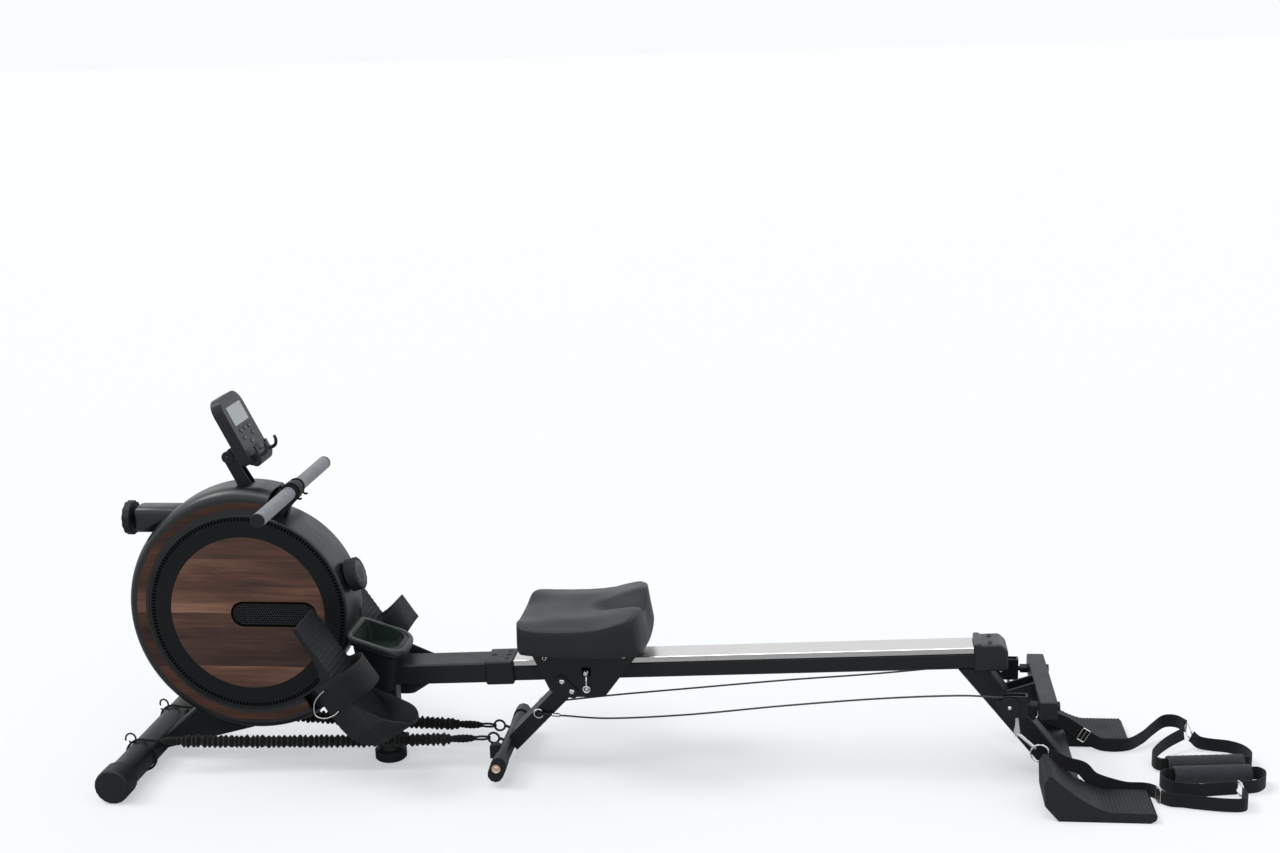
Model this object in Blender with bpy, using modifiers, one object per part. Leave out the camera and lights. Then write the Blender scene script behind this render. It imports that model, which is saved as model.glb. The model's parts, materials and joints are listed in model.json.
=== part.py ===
"""Magnetic rowing machine: wood-trimmed drum, sliding seat, elastic cords and rear pull cables.

Metres, +Z up, +X towards the rear of the machine, +Y towards the rower's right.
The origin is under the middle of the centre foot, on the floor.
"""

import math

import bmesh
import bpy
from mathutils import Matrix, Vector

# Clearances
GAP = 0.0003
RUNNING = 0.0005

# Rail line
RAIL_SLOPE = 0.043
RAIL_DATUM_Z = 0.2194
RAIL_WIDTH = 0.060
RAIL_TUBE_WIDTH = 0.058
RAIL_TUBE_HEIGHT = 0.0327
STRIP_THICKNESS = 0.0025
STRIP_SKIRT = 0.0095
RAIL_START_X = 0.2490
RAIL_END_X = 1.235
RAIL_WALL = 0.0025

# Front stabiliser
STABILISER_X = -0.505
STABILISER_RADIUS = 0.030
STABILISER_CAP_RADIUS = 0.036
STABILISER_HALF_LENGTH = 0.244
STABILISER_CAP_LENGTH = 0.045
STABILISER_CAP_END = 0.006

# Front strut, a welded box that rises from the stabiliser into the drum
STRUT_WIDTH = 0.060
STRUT_LOW_FRONT = (-0.490, 0.020)
STRUT_LOW_MIDDLE = (-0.290, 0.073)
STRUT_LOW_REAR = (-0.100, 0.130)
STRUT_TOP_REAR_X = -0.105
STRUT_TOP_FRONT_X = -0.205
STRUT_CREST = (-0.368, 0.148)
STRUT_HIGH_FRONT = (-0.482, 0.051)

# Front frame
BEAM_START_X = -0.160
BEAM_END_X = 0.2472
BEAM_WIDTH = 0.070
BEAM_HEIGHT = 0.0425
BEAM_TOP_DROP = 0.0022
POST_X = 0.005
POST_WIDTH = 0.040
POST_DEPTH = 0.040
BASE_PLATE_SIZE = (0.100, 0.050, 0.012)
BASE_PLATE_X = -0.015
PEDAL_AXLE_X = -0.033
PEDAL_AXLE_Z = 0.185
PEDAL_AXLE_RADIUS = 0.008
FOOT_RADIUS = 0.033
FOOT_HEIGHT = 0.035

# Drum
DRUM_X = -0.265
DRUM_Z = 0.336
DRUM_FACE_Y = 0.055
DRUM_CORE_RADIUS = 0.210
DRUM_HOOD_RADIUS = 0.2560
DRUM_HOOD_FACE_RADIUS = 0.2400
DRUM_WALL = 0.003
DRUM_STEPS = 40
HOOD_START_DEG = 78.0
HOOD_END_DEG = 300.0
COVER_RADIUS = 0.2050
COVER_THICKNESS = 0.005
COVER_LIP = 0.008
WOOD_DISC_RADIUS = 0.1620
WOOD_THICKNESS = 0.0016
WOOD_TRIM_OUTER = 0.2345
WOOD_TRIM_INNER = 0.2195
WOOD_TRIM_SHIFT = (0.004, 0.002)
WOOD_TRIM_MARGIN_DEG = 1.0
GRILLE_FRONT_X = -0.301
GRILLE_REAR_X = -0.119
GRILLE_HEIGHT = 0.054
GRILLE_Z = 0.334
VENT_INNER = 0.1960
VENT_OUTER = 0.2025
VENT_DEPTH = 0.0020

# Flywheel, spool and brake
AXLE_RADIUS = 0.0075
FLYWHEEL_RADIUS = 0.150
FLYWHEEL_THICKNESS = 0.016
FLYWHEEL_Y = -0.022
SPOOL_RADIUS = 0.030
SPOOL_WIDTH = 0.024
AXLE_PLATE_THICKNESS = 0.004
AXLE_PLATE_WIDTH = 0.044
AXLE_PLATE_HEAD = 0.026
BRAKE_START_DEG = 150.0
BRAKE_END_DEG = 195.0

# Nose tube and its clamp knob
NOSE_Z = 0.523
NOSE_START_X = -0.504
NOSE_END_X = -0.420
NOSE_SIZE = 0.054
NOSE_ROUNDING = 0.012
NOSE_STUD_RADIUS = 0.008
CLAMP_KNOB_RADIUS = 0.0355
CLAMP_KNOB_LENGTH = 0.016
CLAMP_KNOB_LOBES = 12

# Resistance knob on the rim of the drum
DIAL_ANGLE_DEG = 17.5
DIAL_RADIUS = 0.0345
DIAL_LENGTH = 0.024
DIAL_STEM_RADIUS = 0.009
DIAL_STEM_LENGTH = 0.0025
DIAL_FLUTES = 14

# Handlebar
HANDLE_X = -0.168
HANDLE_Z = 0.582
HANDLE_HALF_LENGTH = 0.220
HANDLE_CORE_RADIUS = 0.009
HANDLE_FOAM_RADIUS = 0.0140
HANDLE_CAP_LENGTH = 0.004
HANDLE_FOAM_START = 0.024
YOKE_RADIUS = 0.019
YOKE_WIDTH = 0.022
CRADLE_Y = 0.0155
CRADLE_THICKNESS = 0.004
CRADLE_MOUTH = 0.0004
PULL_STRAP_WIDTH = 0.018
PULL_STRAP_THICKNESS = 0.0024
PULL_SLOT_WIDTH = 0.021
PULL_SLOT_LENGTH = 0.016

# Console
CONSOLE_TOP = (-0.290, 0.784)
CONSOLE_LEAN_DEG = 25.5
CONSOLE_LENGTH = 0.146
CONSOLE_WIDTH = 0.114
CONSOLE_THICKNESS = 0.024
CONSOLE_HINGE = (-0.294, 0.654)
CONSOLE_EAR_RADIUS = 0.012
CONSOLE_EAR_THICKNESS = 0.004
CONSOLE_EAR_Y = 0.011
CONSOLE_POST_X = -0.264
CONSOLE_POST_WIDTH = 0.014
CONSOLE_POST_HEAD_RADIUS = 0.0115
CONSOLE_PIN_RADIUS = 0.0035
SCREEN_WIDTH = 0.078
SCREEN_LENGTH = 0.042
TRAY_DEPTH = 0.014
TRAY_HEIGHT = 0.014
CLIP_HEIGHT = 0.022

# Bottle holder
HOLDER_FRONT_X = -0.060
HOLDER_REAR_X = 0.052
HOLDER_TOP_FRONT_Z = 0.290
HOLDER_TOP_REAR_Z = 0.253
HOLDER_HALF_WIDTH = 0.060
HOLDER_FOOT_HALF_WIDTH = 0.045
HOLDER_FOOT_Z = 0.166
HOLDER_POCKET_DEPTH = 0.050
HOLDER_WALL = 0.008

# Rail sleeve and rail end cap
SLEEVE_START_X = 0.218
SLEEVE_END_X = 0.276
SLEEVE_WALL = 0.0035
SLEEVE_SCREW_RADIUS = 0.0055
END_CAP_START_X = 1.200
END_CAP_END_X = 1.265
END_CAP_WALL = 0.004
END_CAP_RISE = 0.006

# Rear support
LEG_TOP_X = 1.202
LEG_TOP_Z = 0.220
LEG_FOOT_X = 1.350
LEG_FOOT_Z = 0.040
LEG_DEPTH = 0.046
LEG_WIDTH = 0.055
BASE_X = 1.3675
BASE_DEPTH = 0.055
BASE_HEIGHT = 0.039
BASE_LIFT = 0.001
GUSSET_THICKNESS = 0.005
GUSSET_Y = 0.020
REAR_BEAM_X = 1.334
REAR_BEAM_Z = 0.182
REAR_BEAM_DEPTH = 0.034
REAR_BEAM_HEIGHT = 0.036
REAR_BEAM_HALF_LENGTH = 0.130

# Rear foot plates
FOOT_PLATE_OUTER_Y = 0.224
FOOT_PLATE_INNER_Y = 0.120
FOOT_PLATE_FRONT_X = 1.316
FOOT_PLATE_HEEL_Z = 0.090
FOOT_PLATE_REAR_X = 1.527
FOOT_PLATE_TOE_Z = 0.0205
FOOT_PLATE_RIBS = 26
FOOT_PLATE_RIB_DEPTH = 0.0012

# Rear pulleys
PULLEY_X = 1.262
PULLEY_Y = 0.098
PULLEY_Z = 0.180
PULLEY_PLATE_RADIUS = 0.022
PULLEY_PLATE_THICKNESS = 0.003
PULLEY_WHEEL_RADIUS = 0.0180
PULLEY_GROOVE_RADIUS = 0.0140
PULLEY_WHEEL_WIDTH = 0.012
PULLEY_PIN_RADIUS = 0.004
PULLEY_BRIDGE_X = 1.297
SWIVEL_BOLT_RADIUS = 0.005
CABLE_RADIUS = 0.0020
CABLE_RUN = {-1: ((0.474, 0.1140), (0.635, 0.1300), (0.825, 0.1580), (1.012, 0.1820), (1.165, 0.1955)),
             1: ((0.474, 0.1310), (0.635, 0.1440), (0.825, 0.1590), (1.012, 0.1710), (1.165, 0.1850))}
HOOK_DROP = 0.006
HOOK_LENGTH = 0.058
SNAP_LINK_END = (1.3140, 0.0914)
SNAP_LINK_HALF_WIDTH = 0.0050
SNAP_LINK_WIRE = 0.0020

# Seat and carriage
SEAT_FRONT_X = 0.292
SEAT_REAR_X = 0.561
SEAT_HALF_WIDTH = 0.134
SEAT_BOTTOM_Z = 0.2765
SEAT_EDGE_Z = 0.339
SEAT_REAR_LIP_Z = 0.351
SEAT_CHANNEL_DEPTH = 0.012
CARRIAGE_Y = 0.055
CARRIAGE_THICKNESS = 0.003
CARRIAGE_TOP_Z = SEAT_BOTTOM_Z - 0.0003
CARRIAGE_FRONT_X = 0.317
CARRIAGE_REAR_X = 0.536
CARRIAGE_LOW_FRONT_X = 0.386
CARRIAGE_LOW_REAR_X = 0.466
CARRIAGE_LOW_Z = 0.164
ROLLER_RADIUS = 0.012
ROLLER_HALF_LENGTH = 0.030
ROLLER_FRONT_X = 0.345
ROLLER_REAR_X = 0.506
ROLLER_PIN_RADIUS = 0.004
ROLLER_BOLT_RADIUS = 0.0065
PIN_WINDOW_X = 0.430
PIN_WINDOW_Z = 0.2195
PIN_WINDOW = 0.018
LOCK_PIN_RADIUS = 0.0035
LOCK_PIN_REACH = 0.026

# Arm and cross tube under the seat
ARM_TOP = (0.402, 0.189)
ARM_FOOT = (0.264, 0.046)
ARM_DEPTH = 0.032
ARM_WIDTH = 0.056
ARM_BOLTS = ((0.374, 0.177), (0.389, 0.162))
YOKE_CENTRE = (0.408, 0.0, 0.1775)
YOKE_SIZE = (0.040, 0.020)
CROSS_X = 0.255
CROSS_Z = 0.041
CROSS_LEAN_DEG = 20.0
CROSS_HALF_LENGTH = 0.135
CROSS_WIDTH = 0.026
CROSS_HEIGHT = 0.049
CROSS_CAP_LENGTH = 0.030
EYE_RADIUS = 0.0095
EYE_WIRE = 0.0022
CABLE_EYE = (0.328, 0.1195)
CABLE_EYE_Y = 0.0335
CABLE_START = {-1: (0.369, 0.115), 1: (0.369, 0.1205)}
CORD_RING_X = 0.228
CORD_RING_Z = 0.0620
CORD_RING_Y = 0.032
CORD_RING_RADIUS = 0.0115
CORD_RING_WIRE = 0.0025

# Elastic cords
CORD_Y_FRONT = 0.090
CORD_RADIUS = 0.0025
CORD_SAG = 0.005
SLEEVE_CORE_RADIUS = 0.0100
SLEEVE_RIB_RADIUS = 0.0142
SLEEVE_RIBS = 32
CRIMP_RADIUS = 0.0085

# Front pedals, in a frame that runs from the toe down the tread
PEDAL_TOE = (-0.119, 0.355)
PEDAL_LEAN_DEG = 57.0
PEDAL_LENGTH = 0.298
PEDAL_INNER_Y = 0.075
PEDAL_OUTER_Y = 0.190
PEDAL_CUP_START = 0.195
PEDAL_CUP_HEIGHT = 0.066
PEDAL_WALL = 0.005
PEDAL_RIBS = 16
PEDAL_RIB_DEPTH = 0.0012
PEDAL_STRAP_START = 0.122
PEDAL_STRAP_WIDTH = 0.060
PEDAL_STRAP_RISE = 0.040
PEDAL_STRAP_THICKNESS = 0.003
PEDAL_HUB_RADIUS = 0.017

# Straps and hand grips behind the rear foot plates
WEBBING_WIDTH = 0.028
WEBBING_THICKNESS = 0.0026
GRIP_RADIUS = 0.0175
GRIP_LENGTH = 0.150
GRIP_Z = GRIP_RADIUS + 0.0003
GRIP_BORE_RADIUS = 0.0147

MATERIALS = {
    "powder_coat": ((0.030, 0.033, 0.036), 0.42, 0.0),
    "moulding": ((0.022, 0.024, 0.027), 0.38, 0.0),
    "cover_black": ((0.018, 0.020, 0.022), 0.45, 0.0),
    "walnut": ((0.160, 0.070, 0.042), 0.40, 0.0),
    "steel": ((0.620, 0.610, 0.590), 0.28, 1.0),
    "chrome": ((0.750, 0.750, 0.740), 0.12, 1.0),
    "cast_iron": ((0.120, 0.120, 0.125), 0.50, 1.0),
    "foam": ((0.130, 0.132, 0.138), 0.85, 0.0),
    "rubber": ((0.016, 0.017, 0.018), 0.70, 0.0),
    "seat_foam": ((0.032, 0.034, 0.037), 0.62, 0.0),
    "webbing": ((0.010, 0.011, 0.012), 0.90, 0.0),
    "cable": ((0.040, 0.042, 0.045), 0.35, 0.4),
    "holder_green": ((0.050, 0.066, 0.062), 0.50, 0.0),
    "console_black": ((0.035, 0.038, 0.042), 0.30, 0.0),
}


def rail_z(x):
    """Height of the running surface over the floor at x."""
    return RAIL_DATUM_Z + RAIL_SLOPE * x


RAIL_PITCH = math.atan(RAIL_SLOPE)
PARTS = None


# Scene and material helpers

def clear_scene():
    for obj in list(bpy.data.objects):
        bpy.data.objects.remove(obj, do_unlink=True)


def make_collection(name):
    collection = bpy.data.collections.new(name)
    bpy.context.scene.collection.children.link(collection)
    return collection


def material(name):
    found = bpy.data.materials.get(name)
    if found:
        return found
    colour, roughness, metallic = MATERIALS[name]
    made = bpy.data.materials.new(name)
    made.use_nodes = True
    shader = made.node_tree.nodes["Principled BSDF"]
    shader.inputs["Base Color"].default_value = (*colour, 1.0)
    shader.inputs["Roughness"].default_value = roughness
    shader.inputs["Metallic"].default_value = metallic
    return made


def add_object(name, data, finish):
    obj = bpy.data.objects.new(name, data)
    data.materials.append(material(finish))
    PARTS.objects.link(obj)
    return obj


# Modelling helpers

def bore_radius(radius, sides):
    """Radius of a many-sided bore whose flats clear a round shaft of the given radius."""
    return (radius + GAP) / math.cos(math.pi / sides)


def settle(obj):
    """Replace an object's curve or modifiers by the mesh that they make, with welded seams."""
    depsgraph = bpy.context.evaluated_depsgraph_get()
    mesh = bpy.data.meshes.new_from_object(obj.evaluated_get(depsgraph))
    work = bmesh.new()
    work.from_mesh(mesh)
    bmesh.ops.remove_doubles(work, verts=work.verts, dist=0.000002)
    work.to_mesh(mesh)
    work.free()
    name, matrix = obj.name, obj.matrix_world.copy()
    bpy.data.objects.remove(obj, do_unlink=True)
    made = bpy.data.objects.new(name, mesh)
    made.matrix_world = matrix
    PARTS.objects.link(made)
    return made


def boolean(obj, other, operation, solver="EXACT"):
    modifier = obj.modifiers.new("Boolean", "BOOLEAN")
    modifier.solver = solver
    modifier.operation = operation
    modifier.object = other
    bpy.context.view_layer.update()
    made = settle(obj)
    bpy.data.objects.remove(other, do_unlink=True)
    return made


def cut(obj, cutter):
    return boolean(obj, cutter, "DIFFERENCE")


def fuse(obj, other):
    return boolean(obj, other, "UNION")


def common(obj, other):
    return boolean(obj, other, "INTERSECT")


def round_edges(obj, width, segments=1, angle=40.0):
    modifier = obj.modifiers.new("Rounding", "BEVEL")
    modifier.width = width
    modifier.segments = segments
    modifier.limit_method = "ANGLE"
    modifier.angle_limit = math.radians(angle)
    return obj


def block(name, finish, size, centre, pitch=0.0, rounding=0.0, segments=1):
    """A box; pitch raises its +X end."""
    work = bmesh.new()
    bmesh.ops.create_cube(work, size=1.0)
    bmesh.ops.scale(work, vec=Vector(size), verts=work.verts)
    mesh = bpy.data.meshes.new(name)
    work.to_mesh(mesh)
    work.free()
    obj = add_object(name, mesh, finish)
    obj.location = centre
    obj.rotation_euler = (0.0, -pitch, 0.0)
    if rounding:
        round_edges(obj, rounding, segments)
    bpy.context.view_layer.update()
    return obj


def rod(name, finish, radius, start, end, sides=24, end_radius=None):
    """A round bar or cone between two points."""
    start, end = Vector(start), Vector(end)
    work = bmesh.new()
    bmesh.ops.create_cone(work, cap_ends=True, segments=sides, radius1=radius,
                          radius2=radius if end_radius is None else end_radius,
                          depth=(end - start).length)
    mesh = bpy.data.meshes.new(name)
    work.to_mesh(mesh)
    work.free()
    obj = add_object(name, mesh, finish)
    turn = (end - start).to_track_quat("Z", "Y").to_matrix().to_4x4()
    obj.matrix_world = Matrix.Translation((start + end) / 2) @ turn
    bpy.context.view_layer.update()
    return obj


def turned(name, finish, profile, base, direction, steps=48, closed=False):
    """A turned piece; the profile holds (radius, height) points down the outer side."""
    mesh = bpy.data.meshes.new(name)
    count = len(profile)
    edges = [(i, i + 1) for i in range(count - 1)]
    if closed:
        edges.append((count - 1, 0))
    mesh.from_pydata([(radius, 0.0, height) for radius, height in profile], edges, [])
    obj = add_object(name, mesh, finish)
    screw = obj.modifiers.new("Turn", "SCREW")
    screw.steps = steps
    screw.render_steps = steps
    screw.use_merge_vertices = True
    screw.merge_threshold = 0.00001
    turn = Vector(direction).to_track_quat("Z", "Y").to_matrix().to_4x4()
    obj.matrix_world = Matrix.Translation(base) @ turn
    bpy.context.view_layer.update()
    return settle(obj)


def sheet_outline(name, finish, loops, thickness, centre_y=0.0):
    """A flat piece whose outline loops hold (x, z) points, standing across the Y axis."""
    curve = bpy.data.curves.new(name, "CURVE")
    curve.dimensions = "2D"
    curve.fill_mode = "BOTH"
    curve.extrude = thickness / 2
    for points in loops:
        spline = curve.splines.new("POLY")
        spline.points.add(len(points) - 1)
        for point, (x, z) in zip(spline.points, points):
            point.co = (x, z, 0.0, 1.0)
        spline.use_cyclic_u = True
    obj = add_object(name, curve, finish)
    obj.matrix_world = Matrix.Translation((0.0, centre_y, 0.0)) @ Matrix.Rotation(math.pi / 2, 4, "X")
    bpy.context.view_layer.update()
    return settle(obj)


def tube(name, finish, points, radius, resolution=2, radii=None, cyclic=False):
    """A round tube along points; radii scale its radius at each of them."""
    curve = bpy.data.curves.new(name, "CURVE")
    curve.dimensions = "3D"
    curve.bevel_depth = radius
    curve.bevel_resolution = resolution
    curve.use_fill_caps = not cyclic
    spline = curve.splines.new("POLY")
    spline.points.add(len(points) - 1)
    for index, point in enumerate(points):
        spline.points[index].co = (*point, 1.0)
        if radii:
            spline.points[index].radius = radii[index] / radius
    spline.use_cyclic_u = cyclic
    obj = add_object(name, curve, finish)
    bpy.context.view_layer.update()
    return settle(obj)


def arc(centre, radius, start_deg, end_deg, steps):
    """Points on an arc about centre, from one angle to the other."""
    points = []
    for index in range(steps + 1):
        angle = math.radians(start_deg + (end_deg - start_deg) * index / steps)
        points.append((centre[0] + radius * math.cos(angle), centre[1] + radius * math.sin(angle)))
    return points


def smooth_route(points, count):
    """Points of a smooth curve through the given ones, evenly spread along each stretch."""
    ends = [points[0] * 2 - points[1]] + list(points) + [points[-1] * 2 - points[-2]]
    stretches = len(points) - 1
    route = []
    for index in range(count + 1):
        place = min(index * stretches / count, stretches - 1e-9)
        leg, t = int(place), place - int(place)
        a, b, c, d = ends[leg:leg + 4]
        route.append(0.5 * ((2 * b) + (c - a) * t + (2 * a - 5 * b + 4 * c - d) * t * t
                            + (3 * b - a - 3 * c + d) * t * t * t))
    return route


def ribbon(name, finish, points, across, width, thickness):
    """A woven strap: a loft of flat sections whose width lies along the across vectors."""
    work = bmesh.new()
    rings = []
    for index, point in enumerate(points):
        ahead = points[min(index + 1, len(points) - 1)] - points[max(index - 1, 0)]
        side = (across[index] - ahead * (across[index].dot(ahead) / ahead.length_squared)).normalized()
        face = ahead.cross(side).normalized()
        corners = [(-1, -1), (1, -1), (1, 1), (-1, 1)]
        rings.append([work.verts.new(point + side * (u * width / 2) + face * (v * thickness / 2))
                      for u, v in corners])
    for first, second in zip(rings, rings[1:]):
        for k in range(4):
            work.faces.new((first[k], first[(k + 1) % 4], second[(k + 1) % 4], second[k]))
    work.faces.new(rings[0][::-1])
    work.faces.new(rings[-1])
    bmesh.ops.triangulate(work, faces=work.faces)
    bmesh.ops.recalc_face_normals(work, faces=work.faces)
    mesh = bpy.data.meshes.new(name)
    work.to_mesh(mesh)
    work.free()
    return add_object(name, mesh, finish)


def ring(name, finish, centre, normal, radius, wire, steps=14, sides=6):
    """A closed wire ring."""
    turn = Vector(normal).to_track_quat("Z", "Y").to_matrix().to_4x4()
    obj = turned(name, finish, [(radius + wire * math.sin(2 * math.pi * k / sides),
                                 wire * math.cos(2 * math.pi * k / sides)) for k in range(sides)],
                 (0.0, 0.0, 0.0), (0.0, 0.0, 1.0), steps, closed=True)
    obj.matrix_world = Matrix.Translation(centre) @ turn
    bpy.context.view_layer.update()
    return obj


def joined(name, pieces, solver="EXACT"):
    """One body made of overlapping pieces."""
    whole = settle(pieces[0])
    for piece in pieces[1:]:
        whole = boolean(whole, piece, "UNION", solver)
    return rename(whole, name)


def rename(obj, name):
    obj.name = name
    obj.data.name = name
    return obj


def body(name, origin, members):
    """Hang a moving body's pieces on an empty at its joint's axis."""
    empty = bpy.data.objects.new(name + "_joint", None)
    empty.location = origin
    PARTS.objects.link(empty)
    bpy.context.view_layer.update()
    for member in members:
        member.parent = empty
        member.matrix_parent_inverse = empty.matrix_world.inverted()


# Front end

def front_stabiliser():
    z = STABILISER_CAP_RADIUS
    tube_bar = rod("front_stabiliser", "powder_coat", STABILISER_RADIUS,
                   (STABILISER_X, -STABILISER_HALF_LENGTH, z), (STABILISER_X, STABILISER_HALF_LENGTH, z), 24)
    for side, word in ((-1, "left"), (1, "right")):
        inner, outer = bore_radius(STABILISER_RADIUS, 18), STABILISER_CAP_RADIUS
        length, end = STABILISER_CAP_LENGTH, STABILISER_CAP_END
        profile = [(0.0, end), (outer - 0.003, end), (outer, end - 0.003), (outer, end - length),
                   (inner, end - length), (inner, GAP), (0.0, GAP)]
        turned("stabiliser_cap_" + word, "rubber", profile, (STABILISER_X, side * STABILISER_HALF_LENGTH, z),
               (0.0, side, 0.0), 18)
    return tube_bar


def beam_z(x):
    """Height of the front beam's top face."""
    return rail_z(x) - BEAM_TOP_DROP


def front_strut():
    def seat(x):
        return beam_z(x) - BEAM_HEIGHT - GAP
    outline = [STRUT_LOW_FRONT, STRUT_LOW_MIDDLE, STRUT_LOW_REAR,
               (STRUT_TOP_REAR_X, seat(STRUT_TOP_REAR_X)), (STRUT_TOP_FRONT_X, seat(STRUT_TOP_FRONT_X)),
               STRUT_CREST, STRUT_HIGH_FRONT]
    strut = round_edges(sheet_outline("front_strut", "powder_coat", [outline], STRUT_WIDTH), 0.003)
    z = STABILISER_CAP_RADIUS
    cutter = rod("cutter", "powder_coat", STABILISER_RADIUS + GAP, (STABILISER_X, -0.06, z),
                 (STABILISER_X, 0.06, z), 24)
    return [cut(strut, cutter)]


def sloped_block(name, finish, start_x, end_x, top_z, width, height, rounding=0.0):
    """A box that follows the rail's slope, given by its ends and the height of its top."""
    middle = (start_x + end_x) / 2
    length = (end_x - start_x) / math.cos(RAIL_PITCH)
    centre = (middle + math.sin(RAIL_PITCH) * height / 2, 0.0,
              top_z(middle) - math.cos(RAIL_PITCH) * height / 2)
    return block(name, finish, (length, width, height), centre, RAIL_PITCH, rounding)


def front_frame():
    beam = sloped_block("front_frame", "powder_coat", BEAM_START_X, BEAM_END_X, beam_z,
                        BEAM_WIDTH, BEAM_HEIGHT, 0.003)
    underside = beam_z(POST_X) - BEAM_HEIGHT
    low = FOOT_HEIGHT + GAP
    post = block("post", "powder_coat", (POST_DEPTH, POST_WIDTH, underside + 0.006 - low - 0.004),
                 (POST_X, 0.0, (underside + 0.006 + low + 0.004) / 2), rounding=0.003)
    frame = fuse(settle(beam), settle(post))
    plate = block("plate", "powder_coat", BASE_PLATE_SIZE, (BASE_PLATE_X, 0.0, low + BASE_PLATE_SIZE[2] / 2),
                  rounding=0.002)
    frame = fuse(frame, settle(plate))
    axle = rod("axle", "powder_coat", PEDAL_AXLE_RADIUS, (PEDAL_AXLE_X, -PEDAL_OUTER_Y + 0.012, PEDAL_AXLE_Z),
               (PEDAL_AXLE_X, PEDAL_OUTER_Y - 0.012, PEDAL_AXLE_Z), 20)
    frame = fuse(frame, axle)
    foot = turned("centre_foot", "rubber",
                  [(0.0, FOOT_HEIGHT), (FOOT_RADIUS * 0.62, FOOT_HEIGHT), (FOOT_RADIUS * 0.72, FOOT_HEIGHT * 0.66),
                   (FOOT_RADIUS, FOOT_HEIGHT * 0.60), (FOOT_RADIUS, 0.003), (FOOT_RADIUS - 0.003, 0.0), (0.0, 0.0)],
                  (0.0, 0.0, 0.0), (0.0, 0.0, 1.0), 20)
    return [frame, foot]


# Drum

def wedge(name, start_deg, end_deg, reach):
    """A pie-shaped prism about the drum's centre."""
    centre = (DRUM_X, DRUM_Z)
    outline = [centre] + arc(centre, reach, start_deg, end_deg, 8)
    return sheet_outline(name, "moulding", [outline], 0.4)


def drum_shell(name, side):
    face, wall = DRUM_FACE_Y, DRUM_WALL
    base, direction = (DRUM_X, 0.0, DRUM_Z), (0.0, side, 0.0)
    opening = COVER_RADIUS + GAP
    lip_top = face - COVER_THICKNESS - GAP
    core = turned(name, "moulding",
                  [(DRUM_CORE_RADIUS - 0.003, face), (DRUM_CORE_RADIUS, face - 0.003), (DRUM_CORE_RADIUS, GAP),
                   (DRUM_CORE_RADIUS - wall, GAP), (DRUM_CORE_RADIUS - wall, lip_top - wall),
                   (opening - COVER_LIP, lip_top - wall), (opening - COVER_LIP, lip_top),
                   (opening, lip_top), (opening, face)], base, direction, DRUM_STEPS, closed=True)
    outer, edge = DRUM_HOOD_RADIUS, DRUM_HOOD_FACE_RADIUS
    hood = turned("hood", "moulding",
                  [(edge, face), (outer - 0.006, face - 0.005), (outer - 0.001, face - 0.018), (outer, GAP),
                   (DRUM_CORE_RADIUS - 0.001, GAP), (DRUM_CORE_RADIUS - 0.001, face)],
                  base, direction, DRUM_STEPS, closed=True)
    hood = cut(hood, wedge("cutter", HOOD_END_DEG - 360.0, HOOD_START_DEG, 0.40))
    hollow = turned("hollow", "moulding",
                    [(edge - 0.006, face - 0.012), (outer - wall, -0.01), (DRUM_CORE_RADIUS + wall, -0.01),
                     (DRUM_CORE_RADIUS + wall, face - 0.012)], base, direction, 20, closed=True)
    hollow = cut(hollow, wedge("cutter", HOOD_END_DEG - 361.5, HOOD_START_DEG + 1.5, 0.40))
    shell = fuse(core, cut(hood, hollow))
    shell = cut(shell, trim_plate("cutter", side, GAP, 2 * WOOD_THICKNESS, face))

    # Openings for the strut, the beam, the pull strap and the nose tube's and the dial's stems
    strut_slot = sheet_outline("cutter", "moulding", [[
        (STRUT_LOW_FRONT[0] - 0.05, STRUT_LOW_FRONT[1] - 0.014), (STRUT_LOW_MIDDLE[0], STRUT_LOW_MIDDLE[1] - 0.002),
        (STRUT_LOW_REAR[0] + 0.03, STRUT_LOW_REAR[1] + 0.005), (STRUT_TOP_REAR_X + 0.03, 0.19),
        (STRUT_TOP_FRONT_X, 0.19), (STRUT_CREST[0], STRUT_CREST[1] + 0.002),
        (STRUT_HIGH_FRONT[0] - 0.02, STRUT_HIGH_FRONT[1] - 0.012)]], STRUT_WIDTH + 0.002)
    shell = cut(shell, strut_slot)
    beam_slot = sloped_block("cutter", "moulding", BEAM_START_X - 0.01, BEAM_END_X,
                             lambda x: beam_z(x) + 0.001, BEAM_WIDTH + 0.002, BEAM_HEIGHT + 0.002)
    shell = cut(shell, beam_slot)
    strap_slot = block("cutter", "moulding", (PULL_SLOT_LENGTH, PULL_SLOT_WIDTH, 0.05), (0.0, 0.0, 0.0))
    exit_angle = strap_angle()
    strap_slot.rotation_euler = (0.0, math.pi / 2 - exit_angle, 0.0)
    strap_slot.location = strap_exit()
    bpy.context.view_layer.update()
    shell = cut(shell, strap_slot)
    dial = math.radians(DIAL_ANGLE_DEG)
    stem = rod("cutter", "moulding", DIAL_STEM_RADIUS + RUNNING, drum_point(DIAL_ANGLE_DEG, 0.17),
               (DRUM_X + 0.25 * math.cos(dial), 0.0, DRUM_Z + 0.25 * math.sin(dial)), 20)
    return cut(shell, stem)


def drum_point(angle_deg, radius, y=0.0):
    angle = math.radians(angle_deg)
    return (DRUM_X + radius * math.cos(angle), y, DRUM_Z + radius * math.sin(angle))


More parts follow.
